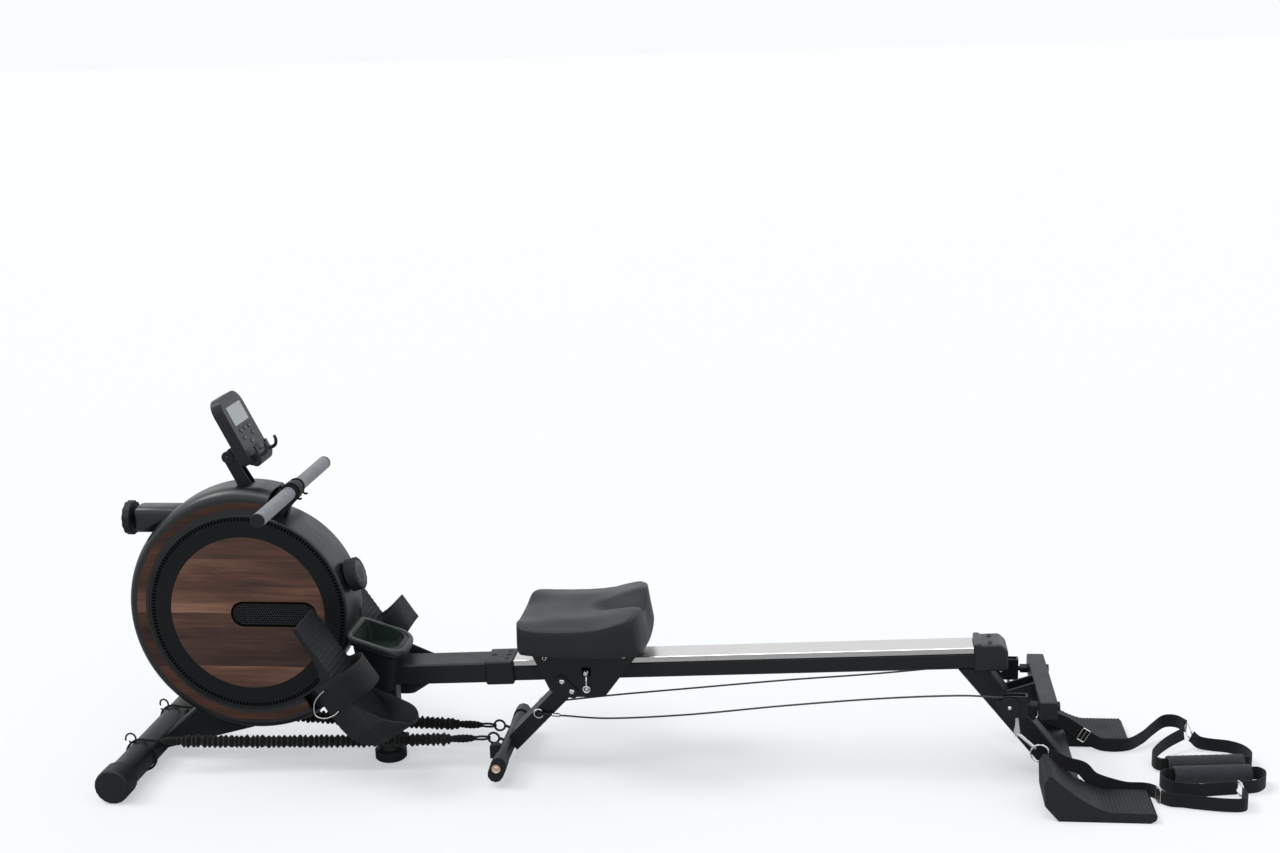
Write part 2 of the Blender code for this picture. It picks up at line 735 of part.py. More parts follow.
def strap_line():
    """Ends of the pull strap's straight run: where it leaves the spool, and the handlebar's yoke."""
    spool = Vector((DRUM_X, 0.0, DRUM_Z))
    handle = Vector((HANDLE_X, 0.0, HANDLE_Z))
    radius = SPOOL_RADIUS + PULL_STRAP_THICKNESS / 2 + GAP
    reach = (handle - spool).length
    heading = math.atan2(handle.z - spool.z, handle.x - spool.x)
    lift = math.acos(radius / reach)
    angle = heading - lift
    start = spool + Vector((math.cos(angle), 0.0, math.sin(angle))) * radius
    end = handle + (start - handle).normalized() * (YOKE_RADIUS + GAP)
    return start, end


def strap_angle():
    start, end = strap_line()
    return math.atan2(end.z - start.z, end.x - start.x)


def strap_exit():
    """Where the pull strap crosses the rim of the drum."""
    start, end = strap_line()
    along = (end - start).normalized()
    centre = Vector((DRUM_X, 0.0, DRUM_Z))
    offset = start - centre
    half = offset.dot(along)
    return start + along * (-half + math.sqrt(half * half - offset.length_squared + DRUM_CORE_RADIUS ** 2))


def drum_cover(name, side):
    """The round side cover with its vent groove and the recess that the wood disc sits in."""
    top = 0.0
    low = -COVER_THICKNESS
    recess = -WOOD_THICKNESS - GAP
    edge = WOOD_DISC_RADIUS + GAP
    return turned(name, "cover_black",
                  [(0.0, recess), (edge, recess), (edge, top), (VENT_INNER, top), (VENT_INNER, top - VENT_DEPTH),
                   (VENT_OUTER, top - VENT_DEPTH), (VENT_OUTER, top), (COVER_RADIUS, top), (COVER_RADIUS, low),
                   (0.0, low)],
                  (DRUM_X, side * DRUM_FACE_Y, DRUM_Z), (0.0, side, 0.0), DRUM_STEPS)


def wood_disc(name, side):
    centre = (DRUM_X, DRUM_Z)
    half = GRILLE_HEIGHT / 2
    slot = (arc((GRILLE_FRONT_X + half, GRILLE_Z), half, 90.0, 270.0, 10)
            + arc((GRILLE_REAR_X - half, GRILLE_Z), half, -90.0, 90.0, 10))
    rim = arc(centre, WOOD_DISC_RADIUS, 0.0, 360.0, DRUM_STEPS)[:-1]
    return sheet_outline(name, "walnut", [rim, slot], WOOD_THICKNESS,
                         side * (DRUM_FACE_Y - WOOD_THICKNESS / 2))


def trim_plate(name, side, margin, thickness, middle_y):
    """The crescent plate on the hood's face, larger all round by the margin."""
    turn = math.degrees(margin / WOOD_TRIM_OUTER)
    start = HOOD_START_DEG + WOOD_TRIM_MARGIN_DEG - turn
    end = HOOD_END_DEG - WOOD_TRIM_MARGIN_DEG + turn
    steps = DRUM_STEPS * 5 // 8
    inner_centre = (DRUM_X + WOOD_TRIM_SHIFT[0], DRUM_Z + WOOD_TRIM_SHIFT[1])
    outline = (arc((DRUM_X, DRUM_Z), WOOD_TRIM_OUTER + margin, start, end, steps)
               + arc(inner_centre, WOOD_TRIM_INNER - margin, end, start, steps))
    return sheet_outline(name, "walnut", [outline], thickness, side * middle_y)


def wood_trim(name, side):
    thickness = WOOD_THICKNESS - 2 * GAP
    return trim_plate(name, side, 0.0, thickness, DRUM_FACE_Y - GAP - thickness / 2)


def drum():
    left = drum_shell("drum_shell_left", -1)
    right = drum_shell("drum_shell_right", 1)
    pieces = [left, right]
    for side, word in ((-1, "left"), (1, "right")):
        pieces.append(drum_cover("side_cover_" + word, side))
        pieces.append(wood_disc("wood_disc_" + word, side))
        pieces.append(wood_trim("wood_trim_" + word, side))
    return pieces


def flywheel_parts():
    inner = BEAM_WIDTH / 2 + GAP
    centre = (DRUM_X, DRUM_Z)
    foot_x, half = BEAM_START_X, AXLE_PLATE_WIDTH / 2
    foot_z = beam_z(foot_x) - BEAM_HEIGHT / 2
    outline = ([(foot_x - half, foot_z), (foot_x + half, foot_z), (foot_x + half, foot_z + 0.030)]
               + arc(centre, AXLE_PLATE_HEAD, 35.0, 215.0, 7) + [(foot_x - half, foot_z + 0.020)])
    plates = []
    for side in (-1, 1):
        plate = sheet_outline("plate", "powder_coat", [outline], AXLE_PLATE_THICKNESS,
                              side * (inner + AXLE_PLATE_THICKNESS / 2))
        plates.append(plate)
    axle_end = inner + AXLE_PLATE_THICKNESS + 0.004
    axle = rod("flywheel_axle", "steel", AXLE_RADIUS, (DRUM_X, -axle_end, DRUM_Z), (DRUM_X, axle_end, DRUM_Z))
    bore = bore_radius(AXLE_RADIUS, 28)
    half = FLYWHEEL_THICKNESS / 2
    web = FLYWHEEL_THICKNESS * 0.22
    flywheel = turned("flywheel", "cast_iron",
                      [(bore, half), (0.030, half), (0.030, web), (FLYWHEEL_RADIUS - 0.030, web),
                       (FLYWHEEL_RADIUS - 0.030, half), (FLYWHEEL_RADIUS, half),
                       (FLYWHEEL_RADIUS, -half), (FLYWHEEL_RADIUS - 0.030, -half),
                       (FLYWHEEL_RADIUS - 0.030, -web), (0.030, -web), (0.030, -half), (bore, -half)],
                      (DRUM_X, FLYWHEEL_Y, DRUM_Z), (0.0, 1.0, 0.0), 28, closed=True)
    bore = bore_radius(AXLE_RADIUS, 16)
    flange = SPOOL_RADIUS + 0.010
    half = SPOOL_WIDTH / 2
    cheek = 0.002
    spool = turned("strap_spool", "moulding",
                   [(bore, half), (flange, half), (flange, half - cheek), (SPOOL_RADIUS, half - cheek),
                    (SPOOL_RADIUS, cheek - half), (flange, cheek - half), (flange, -half), (bore, -half)],
                   (DRUM_X, 0.0, DRUM_Z), (0.0, 1.0, 0.0), 16, closed=True)
    return [joined("flywheel_fork", [axle] + plates), flywheel, spool]


def magnet_brake():
    """A channel of magnets that straddles the flywheel's rim, carried by the left axle plate."""
    centre = (DRUM_X, DRUM_Z)
    width = FLYWHEEL_THICKNESS + 0.014
    outline = (arc(centre, FLYWHEEL_RADIUS - 0.018, BRAKE_START_DEG, BRAKE_END_DEG, 8)
               + arc(centre, FLYWHEEL_RADIUS + 0.012, BRAKE_END_DEG, BRAKE_START_DEG, 8))
    shoe = sheet_outline("magnet_brake", "powder_coat", [outline], width, FLYWHEEL_Y)
    groove = (arc(centre, FLYWHEEL_RADIUS - 0.030, BRAKE_START_DEG - 5, BRAKE_END_DEG + 5, 8)
              + arc(centre, FLYWHEEL_RADIUS + 0.004, BRAKE_END_DEG + 5, BRAKE_START_DEG - 5, 8))
    shoe = cut(shoe, sheet_outline("cutter", "powder_coat", [groove], FLYWHEEL_THICKNESS + 0.005, FLYWHEEL_Y))
    middle = (BRAKE_START_DEG + BRAKE_END_DEG) / 2
    turn = Matrix.Rotation(-math.radians(middle), 4, "Y")
    tie_y = -(BEAM_WIDTH / 2 + 2 * GAP + AXLE_PLATE_THICKNESS * 1.5)
    start, end = AXLE_PLATE_HEAD - 0.014, FLYWHEEL_RADIUS + 0.010
    tie = block("tie", "powder_coat", (end - start, AXLE_PLATE_THICKNESS, 0.016), (0.0, 0.0, 0.0))
    tie = placed(tie, Matrix.Translation(drum_point(middle, (start + end) / 2, tie_y)) @ turn)
    hole = rod("cutter", "powder_coat", AXLE_RADIUS + 0.002, (DRUM_X, -0.1, DRUM_Z), (DRUM_X, 0.1, DRUM_Z))
    tie = cut(tie, hole)
    shoe_y = FLYWHEEL_Y - width / 2
    bridge = block("bridge", "powder_coat", (0.010, shoe_y - tie_y + 0.004, 0.016), (0.0, 0.0, 0.0))
    bridge = placed(bridge, Matrix.Translation(drum_point(middle, FLYWHEEL_RADIUS + 0.004,
                                                          (tie_y + shoe_y) / 2)) @ turn)
    return rename(fuse(fuse(shoe, bridge), tie), "magnet_brake")


def pull_strap():
    start, end = strap_line()
    side = Vector((0.0, 1.0, 0.0))
    return ribbon("pull_strap", "webbing", [start, (start + end) / 2, end], [side] * 3,
                  PULL_STRAP_WIDTH, PULL_STRAP_THICKNESS)


def nose():
    nose_tube = round_edges(block("nose_tube", "moulding", (NOSE_END_X - NOSE_START_X, NOSE_SIZE, NOSE_SIZE),
                                  ((NOSE_START_X + NOSE_END_X) / 2, 0.0, NOSE_Z)), NOSE_ROUNDING, 3)
    drum_body = rod("cutter", "moulding", DRUM_HOOD_RADIUS + GAP, (DRUM_X, -0.1, DRUM_Z), (DRUM_X, 0.1, DRUM_Z), 96)
    nose_tube = cut(nose_tube, drum_body)
    stud_hole = rod("cutter", "moulding", NOSE_STUD_RADIUS + RUNNING, (NOSE_START_X - 0.01, 0.0, NOSE_Z),
                    (NOSE_START_X + 0.020, 0.0, NOSE_Z), 20)
    nose_tube = cut(nose_tube, stud_hole)
    outline = []
    for index in range(CLAMP_KNOB_LOBES * 3):
        angle = 2 * math.pi * index / (CLAMP_KNOB_LOBES * 3)
        radius = CLAMP_KNOB_RADIUS - (0.0022 if index % 3 == 0 else 0.0)
        outline.append((radius * math.cos(angle), radius * math.sin(angle)))
    knob = sheet_outline("knob", "rubber", [outline], CLAMP_KNOB_LENGTH)
    knob.matrix_world = (Matrix.Translation((NOSE_START_X - 0.004 - CLAMP_KNOB_LENGTH / 2, 0.0, NOSE_Z))
                         @ Matrix.Rotation(math.pi / 2, 4, "Z") @ knob.matrix_world)
    bpy.context.view_layer.update()
    knob = settle(round_edges(knob, 0.003, 1, 60.0))
    stud = rod("stud", "rubber", NOSE_STUD_RADIUS, (NOSE_START_X - 0.010, 0.0, NOSE_Z),
               (NOSE_START_X + 0.018, 0.0, NOSE_Z), 20)
    knob = rename(fuse(knob, stud), "clamp_knob")
    return nose_tube, knob


def resistance_dial():
    start = DRUM_CORE_RADIUS + RUNNING
    outline = []
    for index in range(DIAL_FLUTES * 2):
        angle = 2 * math.pi * index / (DIAL_FLUTES * 2)
        radius = DIAL_RADIUS - (0.0012 if index % 2 == 0 else 0.0)
        outline.append((radius * math.cos(angle), radius * math.sin(angle)))
    dial = sheet_outline("dial", "rubber", [outline], DIAL_LENGTH)
    heading = Vector((math.cos(math.radians(DIAL_ANGLE_DEG)), 0.0, math.sin(math.radians(DIAL_ANGLE_DEG))))
    turn = heading.to_track_quat("Z", "Y").to_matrix().to_4x4() @ Matrix.Rotation(-math.pi / 2, 4, "X")
    centre = Vector(drum_point(DIAL_ANGLE_DEG, start + DIAL_STEM_LENGTH + DIAL_LENGTH / 2))
    dial.matrix_world = Matrix.Translation(centre) @ turn @ dial.matrix_world
    bpy.context.view_layer.update()
    dial = settle(round_edges(dial, 0.0025, 1, 60.0))
    stem = rod("stem", "rubber", DIAL_STEM_RADIUS, drum_point(DIAL_ANGLE_DEG, start - 0.012),
               drum_point(DIAL_ANGLE_DEG, start + DIAL_STEM_LENGTH + 0.004), 20)
    return rename(fuse(dial, stem), "resistance_dial")


def handlebar():
    x, z, half = HANDLE_X, HANDLE_Z, HANDLE_HALF_LENGTH
    cap = HANDLE_FOAM_RADIUS + 0.0003
    core, yoke = HANDLE_CORE_RADIUS, YOKE_RADIUS
    profile = [(0.0, half), (cap - 0.001, half), (cap, half - 0.001), (cap, half - HANDLE_CAP_LENGTH),
               (core, half - HANDLE_CAP_LENGTH), (core, YOKE_WIDTH / 2), (yoke, YOKE_WIDTH / 2),
               (yoke, -YOKE_WIDTH / 2), (core, -YOKE_WIDTH / 2), (core, HANDLE_CAP_LENGTH - half),
               (cap, HANDLE_CAP_LENGTH - half), (cap, 0.001 - half), (cap - 0.001, -half), (0.0, -half)]
    bar = turned("handlebar", "rubber", profile, (x, 0.0, z), (0.0, 1.0, 0.0), 14)
    grips = []
    for side, word in ((-1, "left"), (1, "right")):
        start, end = HANDLE_FOAM_START, half - HANDLE_CAP_LENGTH - GAP
        bore = core + GAP
        grips.append(turned("handle_grip_" + word, "foam",
                            [(bore, end), (HANDLE_FOAM_RADIUS, end), (HANDLE_FOAM_RADIUS, start), (bore, start)],
                            (x, 0.0, z), (0.0, side, 0.0), 14, closed=True))
    return [bar] + grips


def handle_rest():
    """Two ears with an open notch each, on a saddle that follows the drum's rim."""
    centre = (DRUM_X, DRUM_Z)
    rim = DRUM_CORE_RADIUS + GAP
    notch = HANDLE_CORE_RADIUS + CRADLE_MOUTH
    start, end = 60.0, HOOD_START_DEG - 1.0
    saddle = arc(centre, rim, end, start, 6) + arc(centre, rim + 0.004, start, end, 6)
    width = 2 * (CRADLE_Y + CRADLE_THICKNESS / 2 + 0.0015)
    rest = sheet_outline("handle_rest", "rubber", [saddle], width)
    ear = (arc(centre, rim + 0.002, end - 1, start + 2, 5)
           + [(HANDLE_X + 0.010, HANDLE_Z - notch - 0.010), (HANDLE_X + 0.010, HANDLE_Z - notch)]
           + arc((HANDLE_X, HANDLE_Z), notch, 270.0, 90.0, 10)
           + [(HANDLE_X + 0.004, HANDLE_Z + notch + 0.007), (HANDLE_X - 0.020, HANDLE_Z + notch)])
    for side in (-1, 1):
        rest = fuse(rest, sheet_outline("ear", "rubber", [ear], CRADLE_THICKNESS, side * CRADLE_Y))
    slot = block("cutter", "rubber", (PULL_SLOT_LENGTH, PULL_SLOT_WIDTH, 0.05), (0.0, 0.0, 0.0))
    slot.rotation_euler = (0.0, math.pi / 2 - strap_angle(), 0.0)
    slot.location = strap_exit()
    bpy.context.view_layer.update()
    return rename(cut(rest, slot), "handle_rest")


# Console

def console_frame():
    """Matrix from the console's own axes (down the face, out of the face) to the machine's."""
    lean = math.radians(CONSOLE_LEAN_DEG)
    down = Vector((math.sin(lean), 0.0, -math.cos(lean)))
    out = Vector((math.cos(lean), 0.0, math.sin(lean)))
    across = Vector((0.0, 1.0, 0.0))
    matrix = Matrix((down, across, out)).transposed().to_4x4()
    return Matrix.Translation((CONSOLE_TOP[0], 0.0, CONSOLE_TOP[1])) @ matrix


def placed(obj, matrix):
    obj.matrix_world = matrix @ obj.matrix_world
    bpy.context.view_layer.update()
    return obj


def console():
    frame = console_frame()
    length, width, thick = CONSOLE_LENGTH, CONSOLE_WIDTH, CONSOLE_THICKNESS
    corner = 0.030
    half = width / 2
    outline = (arc((length - 0.012, half - 0.012), 0.012, 0.0, 90.0, 4)
               + arc((corner, half - corner), corner, 90.0, 180.0, 4)
               + arc((corner, corner - half), corner, 180.0, 270.0, 4)
               + arc((length - 0.012, 0.012 - half), 0.012, 270.0, 360.0, 4))
    case = sheet_outline("console", "console_black", [outline], thick)
    case.matrix_world = Matrix.Translation((0.0, 0.0, -thick / 2))
    case = settle(round_edges(placed(case, frame), 0.004, 1, 60.0))
    screen = block("cutter", "console_black", (SCREEN_LENGTH, SCREEN_WIDTH, 0.002),
                   (0.024 + SCREEN_LENGTH / 2, 0.0, 0.0005))
    case = cut(case, placed(screen, frame))
    cup = ([(length - TRAY_HEIGHT, -thick * 0.5), (length - TRAY_HEIGHT, TRAY_DEPTH), (length - 0.002, TRAY_DEPTH)]
           + arc((length + 0.001, 0.0), TRAY_DEPTH * 0.75, 60.0, -60.0, 5)
           + [(length - 0.002, -thick + 0.003)])
    tray = settle(round_edges(sheet_outline("tray", "console_black", [cup], width * 0.66), 0.003, 1, 60.0))
    case = fuse(case, placed(tray, frame))
    for side in (-1, 1):
        clip = block("clip", "console_black", (CLIP_HEIGHT, 0.010, 0.004),
                     (length - CLIP_HEIGHT / 2 - 0.006, side * 0.030, TRAY_DEPTH - 0.0025))
        case = fuse(case, settle(placed(clip, frame)))
    hinge = Vector((CONSOLE_HINGE[0], 0.0, CONSOLE_HINGE[1]))
    local = frame.inverted() @ hinge
    for side in (-1, 1):
        y = side * CONSOLE_EAR_Y
        ear = ([(local.x + 0.016, -thick + 0.002), (local.x - 0.020, -thick + 0.002)]
               + arc((local.x, local.z), CONSOLE_EAR_RADIUS, 170.0, 370.0, 8))
        ear_obj = sheet_outline("ear", "console_black", [ear], CONSOLE_EAR_THICKNESS, y)
        case = fuse(case, placed(ear_obj, frame))
    pin = rod("cutter", "console_black", bore_radius(CONSOLE_PIN_RADIUS, 16),
              hinge - Vector((0, 0.05, 0)), hinge + Vector((0, 0.05, 0)), 16)
    case = cut(case, pin)
    return rename(case, "console")


def console_post():
    """The fixed post with its head between the console's ears, and the hinge bolt."""
    hinge = (CONSOLE_HINGE[0], CONSOLE_HINGE[1])
    base_x, half = CONSOLE_POST_X, CONSOLE_POST_WIDTH / 2
    base_z = DRUM_Z + DRUM_HOOD_RADIUS - 0.004
    outline = ([(base_x + half, base_z)] + arc(hinge, CONSOLE_POST_HEAD_RADIUS, 0.0, 180.0, 10)
               + [(base_x - half, base_z)])
    width = 2 * (CONSOLE_EAR_Y - CONSOLE_EAR_THICKNESS / 2 - RUNNING)
    post = sheet_outline("console_post", "powder_coat", [outline], width)
    foot = block("foot", "powder_coat", (0.034, width + 0.012, 0.010), (base_x, 0.0, base_z + 0.005), rounding=0.002)
    post = fuse(post, settle(foot))
    cutter = rod("cutter", "powder_coat", DRUM_HOOD_RADIUS + GAP, (DRUM_X, -0.1, DRUM_Z), (DRUM_X, 0.1, DRUM_Z), 96)
    post = cut(post, cutter)
    reach = CONSOLE_EAR_Y + CONSOLE_EAR_THICKNESS / 2 + RUNNING
    radius = CONSOLE_PIN_RADIUS
    profile = [(0.0, reach + 0.003), (0.006, reach + 0.003), (0.006, reach), (radius, reach), (radius, -reach),
               (0.006, -reach), (0.006, -reach - 0.003), (0.0, -reach - 0.003)]
    bolt = turned("bolt", "powder_coat", profile, (hinge[0], 0.0, hinge[1]), (0.0, 1.0, 0.0), 16)
    return rename(fuse(post, bolt), "console_post")


# Bottle holder

def bottle_holder():
    """A tapered body over the front beam, with a pocket in its sloping top."""
    slope = (HOLDER_TOP_REAR_Z - HOLDER_TOP_FRONT_Z) / (HOLDER_REAR_X - HOLDER_FRONT_X)

    def section(work, front, rear, half, z_front, z_rear, corner):
        points = (arc((rear - half * 0.55, half * 0.45), half * 0.55, 0.0, 90.0, 5)
                  + arc((front + corner, half - corner), corner, 90.0, 180.0, 3)
                  + arc((front + corner, corner - half), corner, 180.0, 270.0, 3)
                  + arc((rear - half * 0.55, -half * 0.45), half * 0.55, 270.0, 360.0, 5))
        return [work.verts.new((x, y, z_front + (z_rear - z_front) * (x - front) / (rear - front)))
                for x, y in points]

    def loft(name, sections):
        work = bmesh.new()
        rings = [section(work, *values) for values in sections]
        for low, high in zip(rings, rings[1:]):
            for k in range(len(low)):
                n = (k + 1) % len(low)
                work.faces.new((low[k], low[n], high[n], high[k]))
        work.faces.new(rings[0][::-1])
        work.faces.new(rings[-1])
        bmesh.ops.recalc_face_normals(work, faces=work.faces)
        mesh = bpy.data.meshes.new(name)
        work.to_mesh(mesh)
        work.free()
        return add_object(name, mesh, "holder_green")

    front, rear, half = HOLDER_FRONT_X, HOLDER_REAR_X, HOLDER_HALF_WIDTH
    top_front, top_rear = HOLDER_TOP_FRONT_Z, HOLDER_TOP_REAR_Z
    foot_front, foot_rear = front + 0.022, rear - 0.022
    holder = loft("bottle_holder", [
        (foot_front, foot_rear, HOLDER_FOOT_HALF_WIDTH, HOLDER_FOOT_Z, HOLDER_FOOT_Z, 0.006),
        (front + 0.008, rear - 0.008, half - 0.007, top_front - 0.022, top_rear - 0.022, 0.008),
        (front, rear, half, top_front - 0.016, top_rear - 0.016, 0.010),
        (front, rear, half, top_front - 0.002, top_rear - 0.002, 0.010),
        (front + 0.002, rear - 0.002, half - 0.002, top_front, top_rear, 0.010)])
    wall, depth = HOLDER_WALL, HOLDER_POCKET_DEPTH
    inner_half = half - wall
    pocket = loft("cutter", [
        (front + wall + 0.010, rear - wall - 0.018, inner_half - 0.004, top_front - depth, top_front - depth, 0.006),
        (front + wall, rear - wall, inner_half, top_front + 0.012 + slope * wall,
         top_rear + 0.012 - slope * wall, 0.006)])
    holder = cut(holder, pocket)
    saddle = sloped_block("cutter", "holder_green", HOLDER_FRONT_X - 0.05, HOLDER_REAR_X + 0.05,
                          lambda x: beam_z(x) + GAP, BEAM_WIDTH + 2 * GAP, 0.10)
    holder = cut(holder, saddle)
    axle = rod("cutter", "holder_green", PEDAL_AXLE_RADIUS + 0.001, (PEDAL_AXLE_X, -0.2, PEDAL_AXLE_Z),
               (PEDAL_AXLE_X, 0.2, PEDAL_AXLE_Z), 20)
    holder = cut(holder, axle)
    rim = rod("cutter", "holder_green", DRUM_CORE_RADIUS + 0.001, (DRUM_X, -0.1, DRUM_Z), (DRUM_X, 0.1, DRUM_Z), 96)
    return rename(cut(holder, rim), "bottle_holder")


# Rail

def rail_parts():
    """The rail's tube with a raised top that the running strip sits over."""
    depth = STRIP_THICKNESS + STRIP_SKIRT
    rail = sloped_block("rail", "powder_coat", RAIL_START_X, RAIL_END_X,
                        lambda x: rail_z(x) - depth - GAP, RAIL_TUBE_WIDTH, RAIL_TUBE_HEIGHT - GAP, 0.003)
    rib = sloped_block("rib", "powder_coat", RAIL_START_X, RAIL_END_X,
                       lambda x: rail_z(x) - STRIP_THICKNESS - GAP,
                       RAIL_WIDTH - 2 * (STRIP_THICKNESS + GAP), STRIP_SKIRT + 0.006)
    rail = fuse(settle(rail), rib)
    hollow = sloped_block("cutter", "powder_coat", RAIL_START_X - 0.05, RAIL_END_X + 0.05,
                          lambda x: rail_z(x) - STRIP_THICKNESS - GAP - RAIL_WALL,
                          RAIL_WIDTH - 2 * (STRIP_THICKNESS + GAP + RAIL_WALL),
                          STRIP_SKIRT + RAIL_TUBE_HEIGHT - 2 * RAIL_WALL)
    rail = cut(rail, hollow)
    window = rod("cutter", "powder_coat", LOCK_PIN_RADIUS + RUNNING,
                 (PIN_WINDOW_X, -0.05, PIN_WINDOW_Z), (PIN_WINDOW_X, 0.0, PIN_WINDOW_Z), 16)
    rail = cut(rail, window)
    strip = sloped_block("rail_strip", "steel", SLEEVE_END_X + RUNNING, END_CAP_START_X - 2 * RUNNING, rail_z,
                         RAIL_WIDTH, depth, 0.0008)
    trough = sloped_block("cutter", "steel", SLEEVE_END_X - 0.05, END_CAP_START_X + 0.05,
                          lambda x: rail_z(x) - STRIP_THICKNESS, RAIL_WIDTH - 2 * STRIP_THICKNESS, 0.03)
    strip = cut(settle(strip), trough)
    return [rename(rail, "rail"), rename(strip, "rail_strip")]


def rail_depth():
    """Whole height of the rail with its strip."""
    return STRIP_THICKNESS + STRIP_SKIRT + RAIL_TUBE_HEIGHT


def rail_sleeve():
    low = max(BEAM_TOP_DROP + BEAM_HEIGHT, rail_depth()) + GAP + SLEEVE_WALL
    sleeve = sloped_block("rail_sleeve", "powder_coat", SLEEVE_START_X, SLEEVE_END_X,
                          lambda x: beam_z(x) + SLEEVE_WALL + GAP, BEAM_WIDTH + 2 * (SLEEVE_WALL + GAP),
                          low - BEAM_TOP_DROP + SLEEVE_WALL + GAP, 0.003)
    beam_hole = sloped_block("cutter", "powder_coat", SLEEVE_START_X - 0.02, RAIL_START_X - GAP,
                             lambda x: beam_z(x) + GAP, BEAM_WIDTH + 2 * GAP, BEAM_HEIGHT + 2 * GAP)
    rail_hole = sloped_block("cutter", "powder_coat", RAIL_START_X - 2 * GAP, SLEEVE_END_X + 0.02,
                             lambda x: beam_z(x) + GAP, RAIL_TUBE_WIDTH + 2 * GAP,
                             rail_depth() - BEAM_TOP_DROP + 2 * GAP)
    sleeve = cut(cut(settle(sleeve), beam_hole), rail_hole)
    for x in (SLEEVE_START_X + 0.014, SLEEVE_END_X - 0.014):
        hole = rod("cutter", "powder_coat", SLEEVE_SCREW_RADIUS, (x, 0.0, beam_z(x) + 0.0015),
                   (x, 0.0, beam_z(x) + 0.02), 16)
        sleeve = cut(sleeve, hole)
        screw = rod("screw", "powder_coat", SLEEVE_SCREW_RADIUS - 0.0015, (x, 0.0, beam_z(x) + 0.0012),
                    (x, 0.0, beam_z(x) + 0.0028), 12)
        sleeve = fuse(sleeve, screw)
    return rename(sleeve, "rail_sleeve")


def rail_end_cap():
    width = RAIL_WIDTH + 2 * (END_CAP_WALL + GAP)
    low_drop = rail_depth() + END_CAP_WALL
    outline = [(END_CAP_START_X, rail_z(END_CAP_START_X) - low_drop),
               (END_CAP_END_X, rail_z(END_CAP_END_X) - low_drop),
               (END_CAP_END_X, rail_z(END_CAP_END_X) - 0.008),
               (END_CAP_END_X - 0.014, rail_z(END_CAP_END_X) + END_CAP_RISE),
               (END_CAP_START_X + 0.014, rail_z(END_CAP_START_X) + END_CAP_RISE + 0.001),
               (END_CAP_START_X + 0.010, rail_z(END_CAP_START_X) + END_CAP_RISE + 0.004),
               (END_CAP_START_X, rail_z(END_CAP_START_X) + END_CAP_RISE + 0.004)]
    cap = round_edges(sheet_outline("rail_end_cap", "moulding", [outline], width), 0.003)
    socket = sloped_block("cutter", "moulding", END_CAP_START_X - 0.05, RAIL_END_X + GAP,
                          lambda x: rail_z(x) - STRIP_THICKNESS, RAIL_TUBE_WIDTH + 2 * GAP,
                          rail_depth() - STRIP_THICKNESS + GAP)
    cap = cut(cap, socket)
    leg_notch = block("cutter", "moulding", (0.5, LEG_WIDTH + 0.002, LEG_DEPTH + 0.002), (0.0, 0.0, 0.0))
    leg_notch.matrix_world = leg_matrix()
    bpy.context.view_layer.update()
    return rename(cut(cap, leg_notch), "rail_end_cap")


# Rear support

def leg_matrix():
    top, foot = Vector((LEG_TOP_X, 0.0, LEG_TOP_Z)), Vector((LEG_FOOT_X, 0.0, LEG_FOOT_Z))
    along = (foot - top).normalized()
    normal = Vector((-along.z, 0.0, along.x))
    matrix = Matrix((along, Vector((0.0, 1.0, 0.0)), normal)).transposed()
    if matrix.determinant() < 0:
        matrix = Matrix((along, Vector((0.0, -1.0, 0.0)), normal)).transposed()
    return Matrix.Translation((top + foot) / 2) @ matrix.to_4x4()


def rear_support():
    leg = block("rear_support", "powder_coat", (0.42, LEG_WIDTH, LEG_DEPTH), (0.0, 0.0, 0.0), rounding=0.003)
    leg.matrix_world = leg_matrix()
    bpy.context.view_layer.update()
    leg = settle(leg)
    below_rail = rail_depth() + GAP
    above = sloped_block("cutter", "powder_coat", 0.9, 1.5, lambda x: rail_z(x) - below_rail + 0.3, 0.3, 0.3)
    leg = cut(leg, above)
    below = block("cutter", "powder_coat", (0.6, 0.4, 0.2), (LEG_FOOT_X, 0.0, BASE_LIFT + 0.004 - 0.1))
    leg = cut(leg, below)
    half = FOOT_PLATE_INNER_Y - GAP
    base = block("base", "powder_coat", (BASE_DEPTH, 2 * half, BASE_HEIGHT),
                 (BASE_X, 0.0, BASE_LIFT + BASE_HEIGHT / 2), rounding=0.003)
    support = fuse(leg, settle(base))
    beam_front = REAR_BEAM_X - REAR_BEAM_DEPTH / 2 + 0.004
    gusset = [(1.255, 0.175), (beam_front, REAR_BEAM_Z + REAR_BEAM_HEIGHT / 2 - 0.002),
              (beam_front, REAR_BEAM_Z - REAR_BEAM_HEIGHT / 2 - 0.045), (1.285, 0.115)]
    for side in (-1, 1):
        support = fuse(support, sheet_outline("gusset", "powder_coat", [gusset], GUSSET_THICKNESS, side * GUSSET_Y))
    beam = block("beam", "powder_coat", (REAR_BEAM_DEPTH, 2 * REAR_BEAM_HALF_LENGTH, REAR_BEAM_HEIGHT),
                 (REAR_BEAM_X, 0.0, REAR_BEAM_Z), rounding=0.002)
    support = fuse(support, settle(beam))
    for side in (-1, 1):
        hole = rod("cutter", "powder_coat", SWIVEL_BOLT_RADIUS + RUNNING, (1.28, side * PULLEY_Y, PULLEY_Z),
                   (1.4, side * PULLEY_Y, PULLEY_Z), 16)
        support = cut(support, hole)
    return rename(support, "rear_support")


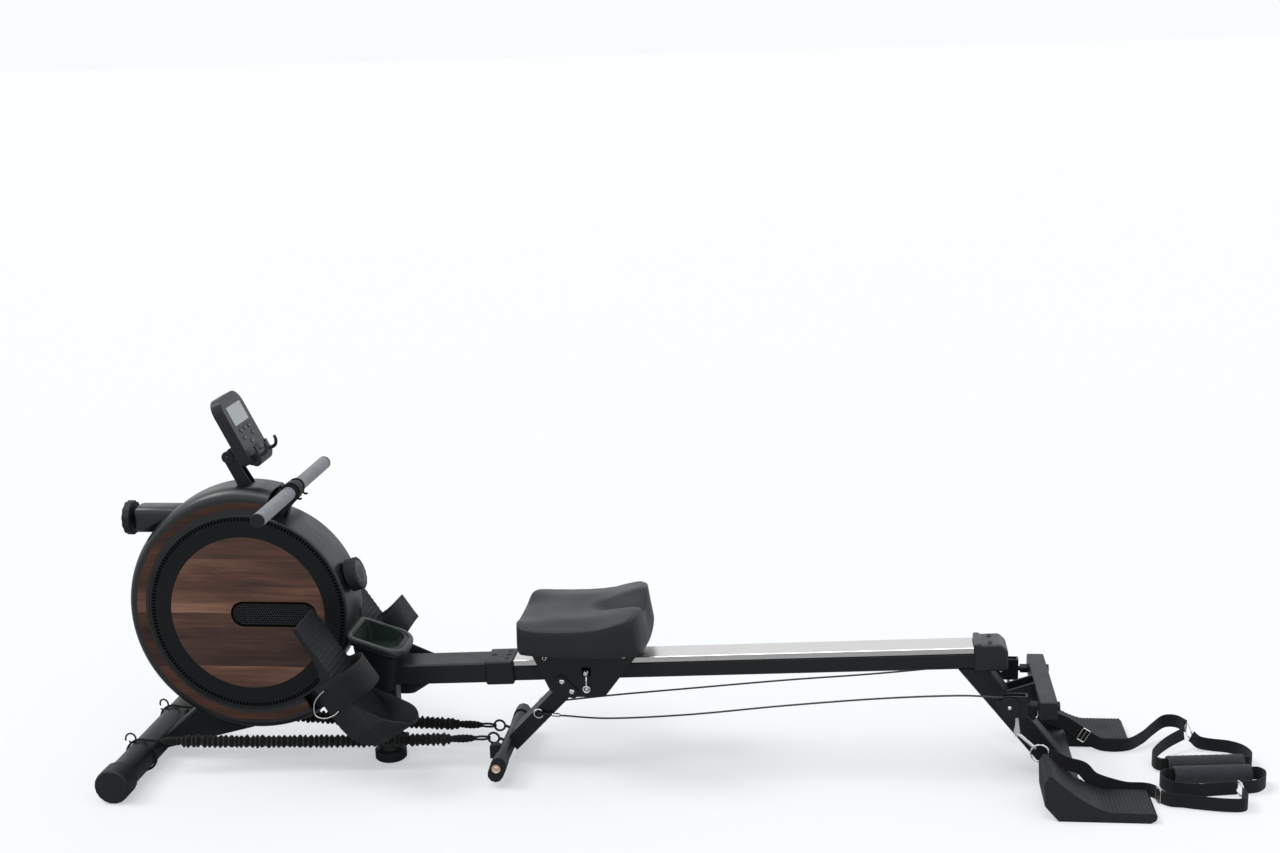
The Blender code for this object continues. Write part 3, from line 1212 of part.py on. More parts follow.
def foot_plate(name, side):
    """A moulded wedge: raised at its front, with a ribbed tread that flattens to the rear."""
    front, rear = FOOT_PLATE_FRONT_X, FOOT_PLATE_REAR_X
    heel, toe = FOOT_PLATE_HEEL_Z, FOOT_PLATE_TOE_Z
    flat_x = front + 0.132
    tread_start = front + 0.020

    def tread(x):
        if x >= flat_x:
            return toe
        share = (flat_x - x) / (flat_x - tread_start)
        return toe + (heel - toe - 0.003) * share ** 1.55

    outline = [(front + 0.030, 0.0), (front + 0.004, 0.030), (front + 0.002, heel - 0.014),
               (front + 0.010, heel), (tread_start - 0.003, heel)]
    pitch = (rear - 0.006 - tread_start) / FOOT_PLATE_RIBS
    for index in range(FOOT_PLATE_RIBS):
        x = tread_start + pitch * index
        outline.append((x, tread(x)))
        outline.append((x + pitch * 0.5, tread(x + pitch * 0.5) - FOOT_PLATE_RIB_DEPTH))
    outline += [(rear - 0.006, toe), (rear, toe - 0.006), (rear - 0.002, 0.006), (rear - 0.012, 0.0)]
    width = FOOT_PLATE_OUTER_Y - FOOT_PLATE_INNER_Y
    middle = side * (FOOT_PLATE_OUTER_Y + FOOT_PLATE_INNER_Y) / 2
    return sheet_outline(name, "rubber", [outline], width, middle)


# Rear pulleys

def pulley(side, word):
    y, x, z = side * PULLEY_Y, PULLEY_X, PULLEY_Z
    gap = PULLEY_WHEEL_WIDTH / 2 + RUNNING
    bridge = PULLEY_BRIDGE_X
    outline = (arc((x, z), PULLEY_PLATE_RADIUS, 90.0, 270.0, 8)
               + [(bridge, z - PULLEY_PLATE_RADIUS), (bridge, z + PULLEY_PLATE_RADIUS)])
    width = 2 * (gap + PULLEY_PLATE_THICKNESS)
    bracket = sheet_outline("bracket", "powder_coat", [outline], width, y)
    inside = (arc((x, z), PULLEY_PLATE_RADIUS + 0.01, 80.0, 280.0, 4)
              + [(bridge - 0.004, z - PULLEY_PLATE_RADIUS - 0.01), (bridge - 0.004, z + PULLEY_PLATE_RADIUS + 0.01)])
    bracket = cut(bracket, sheet_outline("cutter", "powder_coat", [inside], 2 * gap, y))
    pin = rod("pin", "powder_coat", PULLEY_PIN_RADIUS, (x, y - gap - PULLEY_PLATE_THICKNESS - 0.003, z),
              (x, y + gap + PULLEY_PLATE_THICKNESS + 0.003, z), 10)
    bracket = fuse(bracket, pin)
    beam_front = REAR_BEAM_X - REAR_BEAM_DEPTH / 2
    beam_rear = REAR_BEAM_X + REAR_BEAM_DEPTH / 2
    profile = [(0.0, bridge - 0.002), (SWIVEL_BOLT_RADIUS, bridge - 0.002)]
    profile += [(SWIVEL_BOLT_RADIUS, bridge + 0.004), (0.009, bridge + 0.004), (0.009, beam_front - GAP),
                (SWIVEL_BOLT_RADIUS, beam_front - GAP), (SWIVEL_BOLT_RADIUS, beam_rear + GAP),
                (0.009, beam_rear + GAP), (0.009, beam_rear + 0.007), (0.0, beam_rear + 0.007)]
    bolt = turned("bolt", "powder_coat", [(r, -h) for r, h in profile], (0.0, y, z), (-1.0, 0.0, 0.0), 12)
    bracket = rename(fuse(bracket, bolt), "pulley_bracket_" + word)
    half = PULLEY_WHEEL_WIDTH / 2
    bore = bore_radius(PULLEY_PIN_RADIUS, 16)
    wheel = turned("pulley_wheel_" + word, "moulding",
                   [(bore, half), (PULLEY_WHEEL_RADIUS, half), (PULLEY_WHEEL_RADIUS, half - 0.0015),
                    (PULLEY_GROOVE_RADIUS, 0.0018), (PULLEY_GROOVE_RADIUS, -0.0018),
                    (PULLEY_WHEEL_RADIUS, 0.0015 - half), (PULLEY_WHEEL_RADIUS, -half), (bore, -half)],
                   (x, y, z), (0.0, 1.0, 0.0), 16, closed=True)
    return bracket, wheel


# Seat

def seat_surface(u, v):
    """Height over the seat's base at u, front to rear, and v, side to side, both -1 to 1."""
    base = SEAT_EDGE_Z - SEAT_BOTTOM_Z
    rear_rise = (SEAT_REAR_LIP_Z - SEAT_EDGE_Z) * max(0.0, u) ** 1.6
    dish = -0.007 * (1.0 - u * u) * (1.0 - v * v)
    channel = -SEAT_CHANNEL_DEPTH * math.exp(-(v / 0.22) ** 2) * max(0.0, 0.25 + 0.75 * u) ** 0.8
    thighs = 0.006 * math.exp(-((abs(v) - 0.45) / 0.30) ** 2) * (0.5 - 0.5 * u)
    nose = 0.006 * math.exp(-(v / 0.20) ** 2) * max(0.0, -u)
    return base + rear_rise + dish + channel + thighs + nose


def seat_cushion():
    """A contoured pad: crowned top with a rear channel, drawn-in sides and a flat underside."""
    columns, rows = 12, 12
    half_x, half_y = (SEAT_REAR_X - SEAT_FRONT_X) / 2, SEAT_HALF_WIDTH
    middle_x = (SEAT_REAR_X + SEAT_FRONT_X) / 2

    def plan(u, v, inset):
        """Rounded-square outline whose rear edge is notched at the middle."""
        round_off = 1.0 - 0.075 * (u * u) * (v * v)
        x = middle_x + (half_x - inset) * u * round_off
        y = (half_y - inset) * v * round_off
        notch = 0.016 * math.exp(-(v / 0.28) ** 2) * max(0.0, u) ** 6
        return x - notch, y

    work = bmesh.new()
    top = {}
    for i in range(columns + 1):
        for j in range(rows + 1):
            u, v = 2 * i / columns - 1, 2 * j / rows - 1
            x, y = plan(u, v, 0.006)
            edge = max(abs(u), abs(v))
            z = SEAT_BOTTOM_Z + seat_surface(u, v) - (0.004 if edge == 1.0 else 0.0)
            top[i, j] = work.verts.new((x, y, z))
    for i in range(columns):
        for j in range(rows):
            work.faces.new((top[i, j], top[i + 1, j], top[i + 1, j + 1], top[i, j + 1]))
    border = ([(i, 0) for i in range(columns)] + [(columns, j) for j in range(rows)]
              + [(i, rows) for i in range(columns, 0, -1)] + [(0, j) for j in range(rows, 0, -1)])
    rings = [[top[key] for key in border]]
    for inset, height in ((0.0, 0.80), (0.002, 0.30), (0.005, 0.06), (0.008, 0.0)):
        level = []
        for i, j in border:
            u, v = 2 * i / columns - 1, 2 * j / rows - 1
            x, y = plan(u, v, inset)
            level.append(work.verts.new((x, y, SEAT_BOTTOM_Z + height * (seat_surface(u, v) - 0.006))))
        rings.append(level)
    count = len(border)
    for high, low in zip(rings, rings[1:]):
        for k in range(count):
            n = (k + 1) % count
            work.faces.new((high[k], low[k], low[n], high[n]))
    work.faces.new(rings[-1])
    bmesh.ops.recalc_face_normals(work, faces=work.faces)
    mesh = bpy.data.meshes.new("seat_cushion")
    work.to_mesh(mesh)
    work.free()
    return add_object("seat_cushion", mesh, "seat_foam")


def roller_z(x):
    return rail_z(x) + (ROLLER_RADIUS + GAP) / math.cos(RAIL_PITCH)


def seat_carriage():
    """A folded channel: a top plate under the cushion and two tapered side plates."""
    outline = [(CARRIAGE_FRONT_X, CARRIAGE_TOP_Z), (CARRIAGE_FRONT_X, CARRIAGE_TOP_Z - 0.016),
               (CARRIAGE_LOW_FRONT_X - 0.032, CARRIAGE_LOW_Z + 0.015),
               (CARRIAGE_LOW_FRONT_X - 0.018, CARRIAGE_LOW_Z + 0.003), (CARRIAGE_LOW_FRONT_X, CARRIAGE_LOW_Z),
               (CARRIAGE_LOW_REAR_X, CARRIAGE_LOW_Z + 0.002), (CARRIAGE_REAR_X, CARRIAGE_TOP_Z - 0.018),
               (CARRIAGE_REAR_X, CARRIAGE_TOP_Z)]
    outer = 2 * CARRIAGE_Y
    carriage = sheet_outline("seat_carriage", "powder_coat", [outline], outer)
    inside = block("cutter", "powder_coat", (0.5, outer - 2 * CARRIAGE_THICKNESS, 0.3),
                   (0.43, 0.0, CARRIAGE_TOP_Z - CARRIAGE_THICKNESS - 0.15))
    carriage = cut(carriage, inside)
    window = block("cutter", "powder_coat", (PIN_WINDOW, 0.02, PIN_WINDOW),
                   (PIN_WINDOW_X, -CARRIAGE_Y, PIN_WINDOW_Z))
    carriage = cut(carriage, window)
    tab = block("tab", "powder_coat", (0.030, 0.003, 0.030),
                (PIN_WINDOW_X, -CARRIAGE_Y + CARRIAGE_THICKNESS + 0.001, PIN_WINDOW_Z))
    carriage = fuse(carriage, tab)
    hole = rod("cutter", "powder_coat", bore_radius(LOCK_PIN_RADIUS, 16), (PIN_WINDOW_X, -0.08, PIN_WINDOW_Z),
               (PIN_WINDOW_X, -0.03, PIN_WINDOW_Z), 16)
    carriage = cut(carriage, hole)
    for x in (ROLLER_FRONT_X, ROLLER_REAR_X):
        z = roller_z(x)
        reach = CARRIAGE_Y + 0.004
        radius = ROLLER_PIN_RADIUS
        profile = [(0.0, reach), (ROLLER_BOLT_RADIUS, reach), (ROLLER_BOLT_RADIUS, CARRIAGE_Y - 0.001),
                   (radius, CARRIAGE_Y - 0.001), (radius, 0.001 - CARRIAGE_Y),
                   (ROLLER_BOLT_RADIUS, 0.001 - CARRIAGE_Y), (ROLLER_BOLT_RADIUS, -reach), (0.0, -reach)]
        carriage = fuse(carriage, turned("bolt", "powder_coat", profile, (x, 0.0, z), (0.0, 1.0, 0.0), 12))
    return rename(carriage, "seat_carriage")


def roller_set(name, x):
    half, radius = ROLLER_HALF_LENGTH, ROLLER_RADIUS
    bore = bore_radius(ROLLER_PIN_RADIUS, 14)
    return turned(name, "rubber",
                  [(bore, half), (radius - 0.002, half), (radius, half - 0.002), (radius, 0.012), (0.009, 0.009),
                   (0.009, -0.009), (radius, -0.012), (radius, 0.002 - half), (radius - 0.002, -half), (bore, -half)],
                  (x, 0.0, roller_z(x)), (0.0, 1.0, 0.0), 14, closed=True)


def lock_pin():
    outer = CARRIAGE_Y
    profile = [(0.0, outer + 0.012), (0.007, outer + 0.012), (0.008, outer + 0.009), (0.008, outer + 0.004),
               (LOCK_PIN_RADIUS, outer + 0.002), (LOCK_PIN_RADIUS, outer - LOCK_PIN_REACH),
               (0.0, outer - LOCK_PIN_REACH)]
    return turned("lock_pin", "chrome", profile, (PIN_WINDOW_X, 0.0, PIN_WINDOW_Z), (0.0, -1.0, 0.0), 20)


def arm_matrix():
    top, foot = Vector((ARM_TOP[0], 0.0, ARM_TOP[1])), Vector((ARM_FOOT[0], 0.0, ARM_FOOT[1]))
    along = (foot - top).normalized()
    normal = Vector((along.z, 0.0, -along.x))
    matrix = Matrix((along, Vector((0.0, 1.0, 0.0)), normal)).transposed()
    if matrix.determinant() < 0:
        matrix = Matrix((along, Vector((0.0, -1.0, 0.0)), normal)).transposed()
    return Matrix.Translation((top + foot) / 2) @ matrix.to_4x4()


def seat_arm():
    """The angled tube under the carriage, bolted between its plates, with its cross tube."""
    top, foot = Vector((ARM_TOP[0], 0.0, ARM_TOP[1])), Vector((ARM_FOOT[0], 0.0, ARM_FOOT[1]))
    arm = block("seat_arm", "powder_coat", ((foot - top).length, ARM_WIDTH, ARM_DEPTH), (0.0, 0.0, 0.0))
    arm = settle(placed(arm, arm_matrix()))
    crown = sloped_block("cutter", "powder_coat", 0.1, 0.8,
                         lambda x: rail_z(x) - rail_depth() - 0.003 + 0.2, 0.2, 0.2)
    arm = cut(arm, crown)
    reach = CARRIAGE_Y - CARRIAGE_THICKNESS - GAP
    yoke = block("yoke", "powder_coat", YOKE_SIZE[:1] + (2 * reach,) + YOKE_SIZE[1:], YOKE_CENTRE)
    arm = fuse(arm, settle(yoke))
    for x, z in ARM_BOLTS:
        edge = ARM_WIDTH / 2 + 0.004
        arm = fuse(arm, rod("bolt", "powder_coat", 0.006, (x, -edge, z), (x, edge, z), 10))
    arm = fuse(arm, cross_section("cross", "powder_coat", CROSS_WIDTH, CROSS_HEIGHT, 2 * CROSS_HALF_LENGTH, 0.0))
    return joined("seat_arm", [arm] + arm_fittings())


def cross_section(name, finish, width, height, length, y):
    """A flat-oval bar across the machine at the foot of the arm, leaning with it."""
    half, rise = width / 2, height / 2 - width / 2
    outline = arc((0.0, rise), half, 0.0, 180.0, 5) + arc((0.0, -rise), half, 180.0, 360.0, 5)
    lean = math.radians(CROSS_LEAN_DEG)
    turned_outline = [(CROSS_X + x * math.cos(lean) + z * math.sin(lean),
                       CROSS_Z - x * math.sin(lean) + z * math.cos(lean)) for x, z in outline]
    return sheet_outline(name, finish, [turned_outline], length, y)


def arm_fittings():
    """Cable bolts with their eyes and ferrules, and the cords' rings with their stems."""
    pieces = []
    x, z = CABLE_EYE
    for side in (-1, 1):
        end = Vector((CABLE_START[side][0], 0.0, CABLE_START[side][1]))
        heading = (end - Vector((x, 0.0, z))).normalized()
        y = side * CABLE_EYE_Y
        base = side * (ARM_WIDTH / 2 - 0.004)
        shank = [(0.0, 0.0145), (0.0065, 0.0145), (0.0065, 0.0125), (0.0042, 0.0125), (0.0042, 0.0), (0.0, 0.0)]
        pieces.append(turned("bolt", "chrome", shank, (x, base, z), (0.0, side, 0.0), 10))
        pieces.append(ring("eye", "chrome", (x, y, z), (0.0, 1.0, 0.0), 0.0062, 0.0024, 10, 5))
        pieces.append(rod("ferrule", "chrome", 0.0034, Vector((x, y, z)) + heading * 0.0070,
                          end + Vector((0.0, y, 0.0)), 8))
        centre = Vector((CORD_RING_X, side * CORD_RING_Y, CORD_RING_Z))
        pieces.append(ring("ring", "chrome", centre, (0.0, 1.0, 0.0), CORD_RING_RADIUS, CORD_RING_WIRE, 12, 5))
        pieces.append(rod("stem", "chrome", 0.003, centre + Vector((CORD_RING_RADIUS, 0.0, 0.0)),
                          (CROSS_X, centre.y, centre.z - 0.006), 8))
    for side in (-1, 1):
        end = CROSS_HALF_LENGTH + 0.005
        pieces.append(cross_section("cap", "powder_coat", CROSS_WIDTH + 0.006, CROSS_HEIGHT + 0.006,
                                    CROSS_CAP_LENGTH, side * (end - CROSS_CAP_LENGTH / 2)))
    return pieces


# Cords and cables

def elastic_cord(name, side):
    """Cord loop round the stabiliser, crimp, gathered sleeve, crimp, and the cord to the ring."""
    axis_z = STABILISER_CAP_RADIUS
    wrap_steps = 14
    radius = (STABILISER_RADIUS + CORD_RADIUS + GAP) / math.cos(math.radians(330.0 / wrap_steps / 2))
    y_start = side * CORD_Y_FRONT
    points, radii = [], []
    for index in range(wrap_steps + 1):
        angle = math.radians(70.0 + 330.0 * (1 - index / wrap_steps))
        shift = side * 0.009 * (1 - index / wrap_steps)
        points.append(Vector((STABILISER_X + radius * math.cos(angle), y_start + shift,
                              axis_z + radius * math.sin(angle))))
        radii.append(CORD_RADIUS)
    ring_x = CORD_RING_X - CORD_RING_RADIUS - CORD_RING_WIRE - CORD_RADIUS - GAP
    end = Vector((ring_x, side * CORD_RING_Y, CORD_RING_Z))
    start = points[-1]
    heading = end - start

    def on_line(share):
        return start + heading * share - Vector((0.0, 0.0, CORD_SAG * 4 * share * (1 - share)))

    stops = [(0.045, CORD_RADIUS), (0.050, CRIMP_RADIUS), (0.085, CRIMP_RADIUS), (0.087, SLEEVE_CORE_RADIUS)]
    for share, size in stops:
        points.append(on_line(share))
        radii.append(size)
    first, last = 0.095, 0.895
    for index in range(2 * SLEEVE_RIBS + 1):
        share = first + (last - first) * index / (2 * SLEEVE_RIBS)
        points.append(on_line(share))
        radii.append(SLEEVE_RIB_RADIUS if index % 2 else SLEEVE_CORE_RADIUS)
    for share, size in ((0.903, SLEEVE_CORE_RADIUS), (0.905, CRIMP_RADIUS), (0.950, CRIMP_RADIUS),
                        (0.955, CORD_RADIUS), (1.0, CORD_RADIUS)):
        points.append(on_line(share))
        radii.append(size)
    return tube(name, "webbing", points, 0.01, 2, radii)


def steel_cables():
    """From the ferrules on the arm back to the wheels, over their tops and down behind them."""
    radius = PULLEY_GROOVE_RADIUS + CABLE_RADIUS + GAP
    for side, word in ((-1, "left"), (1, "right")):
        begin = Vector((CABLE_START[side][0], side * CABLE_EYE_Y, CABLE_START[side][1]))
        wheel = Vector((PULLEY_X, side * PULLEY_Y, PULLEY_Z))
        lead = (begin - Vector((CABLE_EYE[0], begin.y, CABLE_EYE[1]))).normalized()
        run = [begin + lead * GAP]
        for x, z in CABLE_RUN[side]:
            share = (x - begin.x) / (wheel.x - begin.x)
            run.append(Vector((x, side * (CABLE_EYE_Y + (PULLEY_Y - CABLE_EYE_Y) * share), z)))
        run.append(wheel + Vector((-0.020, 0.0, radius - 0.0002)))
        points = smooth_route(run, 26)
        for angle in range(90, -1, -15):
            turn = math.radians(angle)
            points.append(wheel + Vector((math.cos(turn), 0.0, math.sin(turn))) * radius)
        points.append(wheel + Vector((radius, 0.0, GAP - HOOK_DROP)))
        tube("steel_cable_" + word, "cable", points, CABLE_RADIUS, 1)


def snap_hook(name, side):
    """A trigger snap that hangs from the cable's end behind the wheel, with a long link for the strap's ring."""
    radius = PULLEY_GROOVE_RADIUS + CABLE_RADIUS + GAP
    x, y, top = PULLEY_X + radius, side * PULLEY_Y, PULLEY_Z - HOOK_DROP
    low = -HOOK_LENGTH
    profile = [(0.0, 0.0), (0.0030, 0.0), (0.0042, -0.003), (0.0042, -0.014), (0.0034, -0.016),
               (0.0040, low + 0.024), (0.0066, low + 0.012), (0.0066, low + 0.006), (0.0030, low), (0.0, low)]
    hook = turned(name, "chrome", profile, (x, y, top), (0.0, 0.0, 1.0), 10)
    start = Vector((x, y, top + low + 0.008))
    end = Vector((SNAP_LINK_END[0], y, SNAP_LINK_END[1]))
    along = (end - start).normalized()
    across = Vector((0.0, 1.0, 0.0))
    path = [end + (along * (math.cos(a) - 1.0) + across * math.sin(a)) * SNAP_LINK_HALF_WIDTH
            for a in (math.radians(30.0 * k - 90.0) for k in range(7))]
    path += [start + (across * math.sin(a) + along * math.cos(a)) * SNAP_LINK_HALF_WIDTH
             for a in (math.radians(90.0 + 45.0 * k) for k in range(5))]
    link = tube("link", "chrome", path, SNAP_LINK_WIRE, 1, cyclic=True)
    return rename(fuse(hook, link), name)


LEFT_RINGS = (((1.3225, -0.0980, 0.0815), (0.0, 1.0, 0.0), 0.0175),
              ((1.7000, -0.1060, 0.0200), (0.9, 0.3, 0.1), 0.0145))
RIGHT_RINGS = (((1.3225, 0.0980, 0.0815), (0.0, 1.0, 0.0), 0.0175),
               ((1.6480, 0.1330, 0.0336), (0.9, 0.25, 0.13), 0.0145))
LEFT_STRAP = ((1.3385, -0.0980, 0.0800), (1.3560, -0.1080, 0.0740), (1.3750, -0.1155, 0.0680),
              (1.4010, -0.1155, 0.0600), (1.4250, -0.1120, 0.0360), (1.4800, -0.1050, 0.0160), (1.5200, -0.1080, 0.0155),
              (1.5380, -0.1180, 0.0155), (1.5480, -0.1400, 0.0155), (1.5630, -0.1530, 0.0155),
              (1.5840, -0.1560, 0.0155), (1.6150, -0.1630, 0.0155), (1.6590, -0.1700, 0.0155),
              (1.6930, -0.1680, 0.0155), (1.7050, -0.1500, 0.0155), (1.7020, -0.1185, 0.0155))
RIGHT_STRAP = ((1.3385, 0.0980, 0.0790), (1.3600, 0.1040, 0.0720), (1.3980, 0.1075, 0.0560),
               (1.4330, 0.1040, 0.0340), (1.4690, 0.0980, 0.0160), (1.5190, 0.1000, 0.0155),
               (1.5540, 0.1300, 0.0180), (1.5800, 0.1580, 0.0260), (1.6050, 0.1750, 0.0360),
               (1.6280, 0.1680, 0.0400), (1.6455, 0.1450, 0.0388))
LEFT_LOOP = ((1.6985, -0.0935, 0.0155), (1.6650, -0.1000, 0.0155), (1.6220, -0.1080, 0.0155),
             (1.5850, -0.1030, 0.0155), (1.5630, -0.0850, 0.0160), (1.5580, -0.0640, 0.0178),
             (1.5700, -0.0485, GRIP_Z), (1.5865, -0.0467, GRIP_Z), (1.6610, -0.0385, GRIP_Z),
             (1.7355, -0.0303, GRIP_Z), (1.7510, -0.0302, GRIP_Z), (1.7600, -0.0430, 0.0170),
             (1.7560, -0.0640, 0.0160), (1.7380, -0.0830, 0.0155), (1.7080, -0.0915, 0.0155))
RIGHT_LOOP = ((1.6512, 0.1196, 0.0285), (1.6650, 0.1080, 0.0200), (1.6900, 0.1060, 0.0160),
              (1.7200, 0.1000, 0.0155), (1.7430, 0.0820, 0.0155), (1.7530, 0.0560, 0.0160),
              (1.7520, 0.0330, 0.0178), (1.7455, 0.0200, GRIP_Z), (1.7315, 0.0177, GRIP_Z),
              (1.6570, 0.0095, GRIP_Z), (1.5825, 0.0013, GRIP_Z), (1.5680, 0.0030, GRIP_Z),
              (1.5590, 0.0180, 0.0178), (1.5620, 0.0440, 0.0170), (1.5800, 0.0740, 0.0200),
              (1.6040, 0.0980, 0.0260), (1.6360, 0.1210, 0.0330))


def webbing(routes):
    """Stretches of webbing that stand on their edges."""
    pieces = []
    for route, steps in routes:
        points = smooth_route([Vector(p) for p in route], steps)
        pieces.append(ribbon("strap", "webbing", points, [Vector((0.0, 0.0, 1.0))] * len(points),
                             WEBBING_WIDTH, WEBBING_THICKNESS))
    return pieces


def rear_strap(name, routes, rings):
    """The strap from the snap hook to the hand loop, with the steel ring at each of its ends."""
    pieces = webbing(routes)
    for centre, normal, radius in rings:
        pieces.append(ring("ring", "webbing", centre, normal, radius, 0.0018, 12, 5))
    return joined(name, pieces)


def hand_grip(name, centre, height):
    """A padded sleeve for the hand, which the loop of webbing runs through."""
    yaw = math.radians(6.3)
    heading = Vector((math.cos(yaw), math.sin(yaw), 0.0))
    middle = Vector((centre[0], centre[1], height))
    grip = rod(name, "rubber", GRIP_RADIUS,
               middle - heading * GRIP_LENGTH / 2, middle + heading * GRIP_LENGTH / 2, 20)
    grip = settle(round_edges(grip, 0.002, 1, 50.0))
    bore = rod("cutter", "rubber", GRIP_BORE_RADIUS,
               middle - heading * GRIP_LENGTH, middle + heading * GRIP_LENGTH, 20)
    return rename(cut(grip, bore), name)


# Front pedals

def pedal_frame(side):
    """Matrix from the pedal's axes (down the tread, across, up from the tread) to the machine's."""
    lean = math.radians(PEDAL_LEAN_DEG)
    down = Vector((math.cos(lean), 0.0, -math.sin(lean)))
    up = Vector((math.sin(lean), 0.0, math.cos(lean)))
    across = Vector((0.0, 1.0, 0.0))
    middle = side * (PEDAL_INNER_Y + PEDAL_OUTER_Y) / 2
    matrix = Matrix((down, across, up)).transposed().to_4x4()
    return Matrix.Translation((PEDAL_TOE[0], middle, PEDAL_TOE[1])) @ matrix


def pedal_local(x, z):
    """A point of the machine's side view as (distance down the tread, height over it)."""
    point = pedal_frame(0).inverted() @ Vector((x, 0.0, z))
    return point.x, point.z


def pedal(name, side):
    """A ribbed tread with a block under the ball of the foot and a tall rounded heel cup."""
    length, half = PEDAL_LENGTH, (PEDAL_OUTER_Y - PEDAL_INNER_Y) / 2
    start, height = PEDAL_CUP_START, PEDAL_CUP_HEIGHT
    outline = [(0.0, -0.009), (0.0, 0.0)]
    pitch = (start - 0.012 - 0.012) / PEDAL_RIBS
    for index in range(PEDAL_RIBS):
        s = 0.012 + pitch * index
        outline.append((s, 0.0))
        outline.append((s + pitch * 0.5, -PEDAL_RIB_DEPTH))
    outline += [(start - 0.012, 0.0), (start, 0.0), (start + 0.035, 0.022), (length - 0.040, height * 0.62),
                (length - 0.022, height * 0.90), (length, height), (length, 0.0), (length - 0.0394, -0.043),
                (length - 0.0773, -0.0515), (length - 0.143, -0.0517), (length - 0.205, -0.015)]
    shape = sheet_outline(name, "rubber", [outline], 2 * half)
    corner = half - 0.004
    plan = ([(-0.01, -half), (length - corner, -half)] + arc((length - corner, 0.0), half, -90.0, 90.0, 14)
            + [(length - corner, half), (-0.01, half)])
    stretch = (length - (length - corner)) / half
    plan = [((length - corner) + (s - (length - corner)) * (stretch if s > length - corner else 1.0), y)
            for s, y in plan]
    footprint = sheet_outline("footprint", "rubber", [plan], 0.4)
    footprint.matrix_world = Matrix.Identity(4)
    bpy.context.view_layer.update()
    shape = common(shape, footprint)
    inner = half - PEDAL_WALL
    reach = length - PEDAL_WALL
    bend = reach - inner
    pocket_plan = ([(-0.02, -inner), (bend, -inner)] + arc((bend, 0.0), inner, -80.0, 80.0, 12)
                   + [(bend, inner), (-0.02, inner)])
    pocket = sheet_outline("cutter", "rubber", [pocket_plan], 0.2)
    pocket.matrix_world = Matrix.Translation((0.0, 0.0, 0.1 + 0.0002))
    bpy.context.view_layer.update()
    shape = cut(shape, pocket)
    axle_s, axle_t = pedal_local(PEDAL_AXLE_X, PEDAL_AXLE_Z)
    bore = rod("cutter", "rubber", bore_radius(PEDAL_AXLE_RADIUS, 20), (axle_s, -side * 0.2, axle_t),
               (axle_s, side * (half - 0.010), axle_t), 20)
    shape = placed(shape, pedal_frame(side))
    bore = placed(bore, pedal_frame(side))
    return rename(cut(shape, bore), name)


def pedal_strap(name, side):
    """A wide band that arches over the tread from one side of the pedal to the other."""
    half = (PEDAL_OUTER_Y - PEDAL_INNER_Y) / 2
    gap, thick, rise = GAP, PEDAL_STRAP_THICKNESS, PEDAL_STRAP_RISE
    inner = half + gap

    def arch(width, top):
        return [(width * math.cos(math.pi * k / 14), top * math.sin(math.pi * k / 14) ** 0.8) for k in range(15)]

    drop = -0.016
    outline = ([(inner + thick, drop)] + arch(inner + thick, rise + thick) + [(-inner - thick, drop), (-inner, drop)]
               + arch(inner, rise)[::-1] + [(inner, drop)])
    band = sheet_outline("band", "webbing", [outline], PEDAL_STRAP_WIDTH)
    band.matrix_world = (pedal_frame(side) @ Matrix.Translation((PEDAL_STRAP_START + PEDAL_STRAP_WIDTH / 2, 0.0, 0.0))
                         @ Matrix.Rotation(math.pi / 2, 4, "Z") @ band.matrix_world)
    bpy.context.view_layer.update()
    return rename(band, name)


# Assembly

